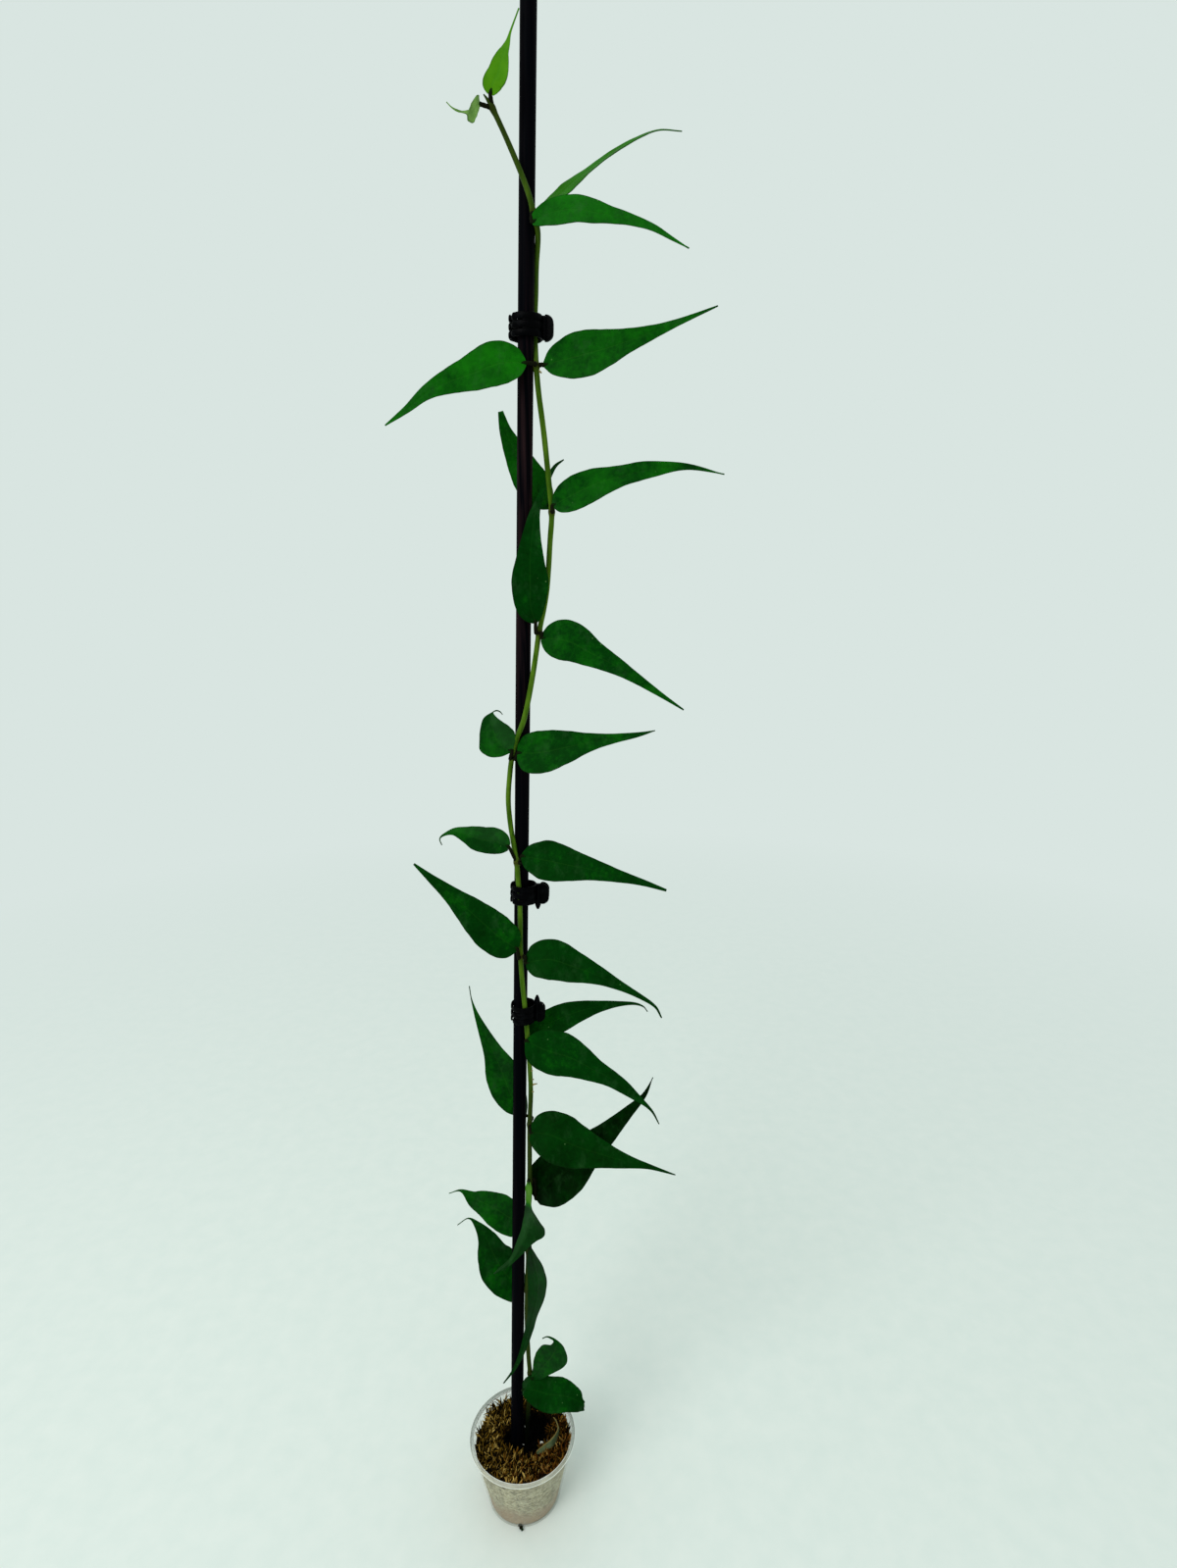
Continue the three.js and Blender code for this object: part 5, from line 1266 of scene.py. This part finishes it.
def clip_spring():
    """The spring: a helix of steel wire round an upright axis at the levers' root."""
    turn = np.linspace(0, 2 * np.pi * CLIP["turns"], 24 * CLIP["turns"])
    z = np.linspace(-0.4, 0.4, len(turn)) * CLIP["tall"]
    path = np.stack([CLIP["coil"] * np.cos(turn), CLIP["coil"] * np.sin(turn), z], axis=-1)
    centre = np.array([CLIP["outer"] + CLIP["hub_out"] + CLIP["spring_out"], 0, 0])
    return shell(tube_rings(path + centre, np.full(len(turn), CLIP["wire"] / 2), 6), 1)


def make_clip(name, clip, looks):
    """One clip: its shells turned from upright to the stake's lean by the shortest way, and put in place."""
    lean = stake_way()
    axis = np.cross((0, 0, 1), lean)
    cross = np.array([[0, -axis[2], axis[1]], [axis[2], 0, -axis[0]], [-axis[1], axis[0], 0]])
    rotation = np.eye(3) + cross + cross @ cross / (1 + lean[2])
    place = stake_at(clip["height"])[0] + np.array([clip["right"], clip["back"], 0])
    ring = [*clip_fingers(), clip_plate()]
    for part in ring:
        part["points"][:, 0] *= np.where(part["points"][:, 0] < 0, clip["left"], 1.0)
    levers = [clip_lever(side, clip["reach"]) for side in (1, -1)]
    parts = [*ring, clip_hub(clip["spike"], clip["point"]), *levers, clip_spring()]
    for part in parts:
        part["points"] = part["points"] @ rotation.T + place
    piece(name + "_claw", parts, looks, [name])


# Stage

def make_floor(colours):
    """A wide round floor, a hair below the cup's base."""
    radius = np.array(FLOOR["radii"], dtype=float)
    top = np.stack([radius, np.full(len(radius), -FLOOR["below"])], axis=-1)
    profile = np.vstack([top, [(radius[-1], -FLOOR["thick"]), (radius[0], -FLOOR["thick"])]])
    floor = piece("floor", [shell(lathe_rings(profile, FLOOR["sides"]))], [floor_material(colours)])


def placed(axes, place):
    """A matrix from an object's own three axes and its place in metres."""
    matrix = np.eye(4)
    matrix[:3, :3], matrix[:3, 3] = np.column_stack(axes), place
    return Matrix(matrix.tolist())


def soft_light(name, place, aim, size, power, colour):
    """A square soft light at a place in metres, looking at a point."""
    data = bpy.data.lights.new(name, "AREA")
    data.size = size
    data.energy = power
    data.color = colour
    light = bpy.data.objects.new(name, data)
    bpy.context.scene.collection.objects.link(light)
    away = unit(np.array(place, dtype=float) - np.array(aim, dtype=float))
    side = unit(np.cross((0, 0, 1), away))
    light.matrix_world = placed((side, np.cross(away, side), away), place)


def make_camera():
    """The photograph's camera: it looks down by one angle and is rolled by another about its own axis."""
    down, roll = math.radians(CAMERA["down"]), math.radians(CAMERA["roll"])
    right = np.array([1.0, 0.0, 0.0])
    ahead = np.array([0.0, math.cos(down), -math.sin(down)])
    above = np.array([0.0, math.sin(down), math.cos(down)])
    across = math.cos(roll) * right + math.sin(roll) * above
    upright = math.cos(roll) * above - math.sin(roll) * right
    data = bpy.data.cameras.new("camera")
    data.sensor_fit = "AUTO"
    data.sensor_width = CAMERA["sensor_mm"]
    data.lens = CAMERA["sensor_mm"] * CAMERA["focal_px"] / CAMERA["long_px"]
    data.clip_start = 0.01
    data.clip_end = 100.0
    camera = bpy.data.objects.new("camera", data)
    bpy.context.scene.collection.objects.link(camera)
    camera.matrix_world = placed((across, upright, -ahead), np.array(CAMERA["place"]) * MM)
    bpy.context.scene.camera = camera


# What a user may change

def length_property(label, about, default, low, high):
    """A length in metres, with its limits."""
    return bpy.props.FloatProperty(name=label, description=about, default=default, min=low, max=high,
                                   unit="LENGTH")


def colour_property(label, about, red, green, blue):
    """A colour, given as it is displayed, from 0 to 255."""
    return bpy.props.FloatVectorProperty(name=label, description=about, subtype="COLOR", size=4, min=0.0,
                                         max=1.0, default=linear(red, green, blue))


class HoyaSizes(bpy.types.PropertyGroup):
    """Sizes that can be changed without moving a piece off its place in the frame."""
    leaf_thickness: length_property("Leaf thickness", "Thickness at a leaf's midrib", 0.0009, 0.0003, 0.002)
    leaf_edge: length_property("Leaf edge", "Thickness at a leaf's edge", 0.00045, 0.0002, 0.001)
    leaf_wave: length_property("Leaf wave", "How far a leaf's edge waves up and down", 0.0005, 0.0, 0.002)
    stem_radius: length_property("Stem radius", "Radius of the stem between joints", 0.00145, 0.0008, 0.002)
    strand_length: length_property("Strand length", "Middling length of a moss strand", 0.0056, 0.001, 0.012)
    moss_strands: bpy.props.IntProperty(name="Moss strands", description="How many strands stand on the moss",
                                        default=3000, min=0, max=6000)
    moss_tufts: bpy.props.IntProperty(name="Moss tufts", description="How many tufts the strands stand in",
                                      default=340, min=20, max=900)


class HoyaColours(bpy.types.PropertyGroup):
    """Colours of the finishes."""
    # The leaves' greens from dark to light, which a leaf's tone picks from, paint the shade and light on it as
    # well as its own green
    leaf_deep: colour_property("Leaf deep", "Leaves of a middle tone", 2, 46, 6)
    leaf_light: colour_property("Leaf light", "Leaves in full light", 16, 96, 8)
    leaf_pale: colour_property("Leaf pale", "Pale side of a folded leaf", 112, 150, 74)
    leaf_dark: colour_property("Leaf dark", "Leaves in the shade", 1, 12, 1)
    # Painted sheen: the grey that the leaves' sheen is painted in
    leaf_sheen: colour_property("Leaf dull", "Greyish sheen of a leaf", 44, 84, 44)
    leaf_young: colour_property("Leaf young", "The two youngest leaves", 69, 126, 2)
    leaf_vein: colour_property("Leaf vein", "Midrib and side veins", 52, 112, 30)
    leaf_edge: colour_property("Leaf edge", "Thin rim of a leaf", 10, 26, 8)
    leaf_speck: colour_property("Leaf speck", "Pale specks on a leaf", 110, 150, 90)
    leaf_back: colour_property("Leaf back", "Underside of a leaf", 30, 92, 24)
    stalk: colour_property("Stalk", "Leaf stalks beside the stem", 18, 12, 8)
    stem: colour_property("Stem", "Stem", 46, 78, 10)
    stem_light: colour_property("Stem light", "Light streaks on the stem", 80, 112, 26)
    stem_joint: colour_property("Stem joint", "Brown skin at a joint", 56, 38, 20)
    stem_dark: colour_property("Stem dark", "Dark patches on the stem", 34, 42, 12)
    rootlet: colour_property("Rootlet", "Short roots on the stem", 176, 158, 104)
    # Painted shade: the near black of the hollow round the stake and the stem, of the strands' roots and of the
    # stem's foot
    shaded_hollow: colour_property("Hollow", "The dark hollow in the moss", 2, 1, 2)
    moss_dark: colour_property("Moss dark", "Shaded moss", 14, 8, 2)
    moss_olive: colour_property("Moss olive", "Olive moss", 68, 50, 9)
    moss_gold: colour_property("Moss gold", "Golden moss", 140, 106, 30)
    moss_rust: colour_property("Moss rust", "Rusty moss", 110, 52, 12)
    moss_straw: colour_property("Moss straw", "Straw-coloured moss", 224, 190, 104)
    pressed_light: colour_property("Pressed moss light", "Pale moss behind the wall", 214, 206, 172)
    pressed_dark: colour_property("Pressed moss dark", "Dark moss behind the wall", 100, 90, 62)
    pressed_pink: colour_property("Pressed moss pink", "Moss at the cup's base", 160, 130, 104)
    perlite: colour_property("Perlite", "Perlite crumbs", 232, 232, 224)
    withered: colour_property("Withered leaf", "Withered leaf", 112, 126, 90)
    withered_dark: colour_property("Withered dark", "Darker withered leaf", 66, 82, 52)
    cup_wall: colour_property("Cup wall", "Haze of the cup's wall", 218, 216, 200)
    # Painted highlight: the white of the rim's two bright lines
    cup_rim_highlight: colour_property("Cup rim", "Haze of the cup's rim", 255, 255, 252)
    # Painted shade on the rim between its two lines
    cup_shade: colour_property("Cup shade", "The rim between its two lines", 112, 118, 106)
    stake: colour_property("Stake", "Stake", 2, 3, 6)
    stake_brown: colour_property("Stake brown", "Brown streaks on the stake", 38, 24, 26)
    clip: colour_property("Clip", "Clip plastic", 1, 1, 2)
    # Painted sheen on the clips, and the worn scratches on the spring's steel
    clip_wear_and_sheen: colour_property("Clip worn", "Worn clip plastic", 16, 18, 20)
    steel: colour_property("Spring steel", "Spring wire", 200, 202, 198)
    floor: colour_property("Floor", "Floor", 228, 233, 229)
    floor_shade: colour_property("Floor shade", "Faint grain in the floor", 223, 230, 226)
    background: colour_property("Background", "Background light", 217, 229, 225)


# Operators

def settings(context):
    """The sizes and the colours that the user may change."""
    return context.scene.hoya_sizes, context.scene.hoya_colours


class MakeLeaves(bpy.types.Operator):
    """Makes each leaf with its stalk in place of its node"""
    bl_idname = "hoya.make_leaves"
    bl_label = "Leaves"

    def execute(self, context):
        sizes, colours = settings(context)
        materials = {"face": leaf_material(colours), "young": young_leaf_material(colours),
                     "back": leaf_back_material(colours), "stalk": stalk_material(colours)}
        for index, (name, leaf) in enumerate(LEAVES.items()):
            make_leaf(name, leaf, index, materials, sizes)
        return {"FINISHED"}


class MakeStem(bpy.types.Operator):
    """Makes the stem with its joints, rootlets and end bud"""
    bl_idname = "hoya.make_stem"
    bl_label = "Stem"

    def execute(self, context):
        sizes, colours = settings(context)
        make_stem(colours, sizes)
        return {"FINISHED"}


class MakeMoss(bpy.types.Operator):
    """Makes the moss bed, its strands, the perlite and the withered leaf"""
    bl_idname = "hoya.make_moss"
    bl_label = "Moss"

    def execute(self, context):
        sizes, colours = settings(context)
        make_moss_bed(colours)
        make_moss_strands(colours, sizes)
        make_perlite(colours)
        make_withered_leaf(colours, sizes)
        return {"FINISHED"}


class MakeCup(bpy.types.Operator):
    """Makes the clear cup and the root under its foot"""
    bl_idname = "hoya.make_cup"
    bl_label = "Cup"

    def execute(self, context):
        make_cup(settings(context)[1])
        make_root_tip(settings(context)[1])
        return {"FINISHED"}


class MakeStake(bpy.types.Operator):
    """Makes the stake"""
    bl_idname = "hoya.make_stake"
    bl_label = "Stake"

    def execute(self, context):
        make_stake(settings(context)[1])
        return {"FINISHED"}


class MakeClips(bpy.types.Operator):
    """Makes the three claw clips with their springs"""
    bl_idname = "hoya.make_clips"
    bl_label = "Clips"

    def execute(self, context):
        colours = settings(context)[1]
        looks = [clip_material(colours), spring_material(colours)]
        for name, clip in CLIPS.items():
            make_clip(name, clip, looks)
        return {"FINISHED"}


class SetStage(bpy.types.Operator):
    """Sets the floor, the background, the lights and the camera"""
    bl_idname = "hoya.set_stage"
    bl_label = "Stage"

    def execute(self, context):
        colours = settings(context)[1]
        scene = context.scene
        make_floor(colours)
        world = bpy.data.worlds.new("studio")
        world.use_nodes = True
        world.node_tree.nodes["Background"].inputs["Color"].default_value = colours.background
        world.node_tree.nodes["Background"].inputs["Strength"].default_value = 1.0
        scene.world = world
        soft_light("key_light", **LIGHT)
        scene.view_settings.view_transform = "Standard"
        scene.view_settings.look = "None"
        make_camera()
        return {"FINISHED"}


STEPS = (SetStage, MakeLeaves, MakeStem, MakeMoss, MakeCup, MakeStake, MakeClips)


class HoyaPanel(bpy.types.Panel):
    """Lists the steps, the sizes and the colours"""
    bl_idname = "VIEW3D_PT_hoya"
    bl_label = "Potted hoya"
    bl_space_type = "VIEW_3D"
    bl_region_type = "UI"
    bl_category = "Hoya"

    def draw(self, context):
        for step in STEPS:
            self.layout.operator(step.bl_idname)
        for group in settings(context):
            for key in group.bl_rna.properties.keys():
                if key not in {"rna_type", "name"}:
                    self.layout.prop(group, key)


CLASSES = (HoyaSizes, HoyaColours, *STEPS, HoyaPanel)


def register():
    """Registers every class, and hangs the sizes and colours on the scene."""
    for cls in CLASSES:
        bpy.utils.register_class(cls)
    bpy.types.Scene.hoya_sizes = bpy.props.PointerProperty(type=HoyaSizes)
    bpy.types.Scene.hoya_colours = bpy.props.PointerProperty(type=HoyaColours)


def unregister():
    """Takes back what register does."""
    del bpy.types.Scene.hoya_sizes
    del bpy.types.Scene.hoya_colours
    for cls in reversed(CLASSES):
        bpy.utils.unregister_class(cls)


def main():
    """Makes the stage and every piece by the add-on's own steps."""
    register()
    for step in STEPS:
        group, name = step.bl_idname.split(".")
        getattr(getattr(bpy.ops, group), name)()


if __name__ == "__main__":
    main()
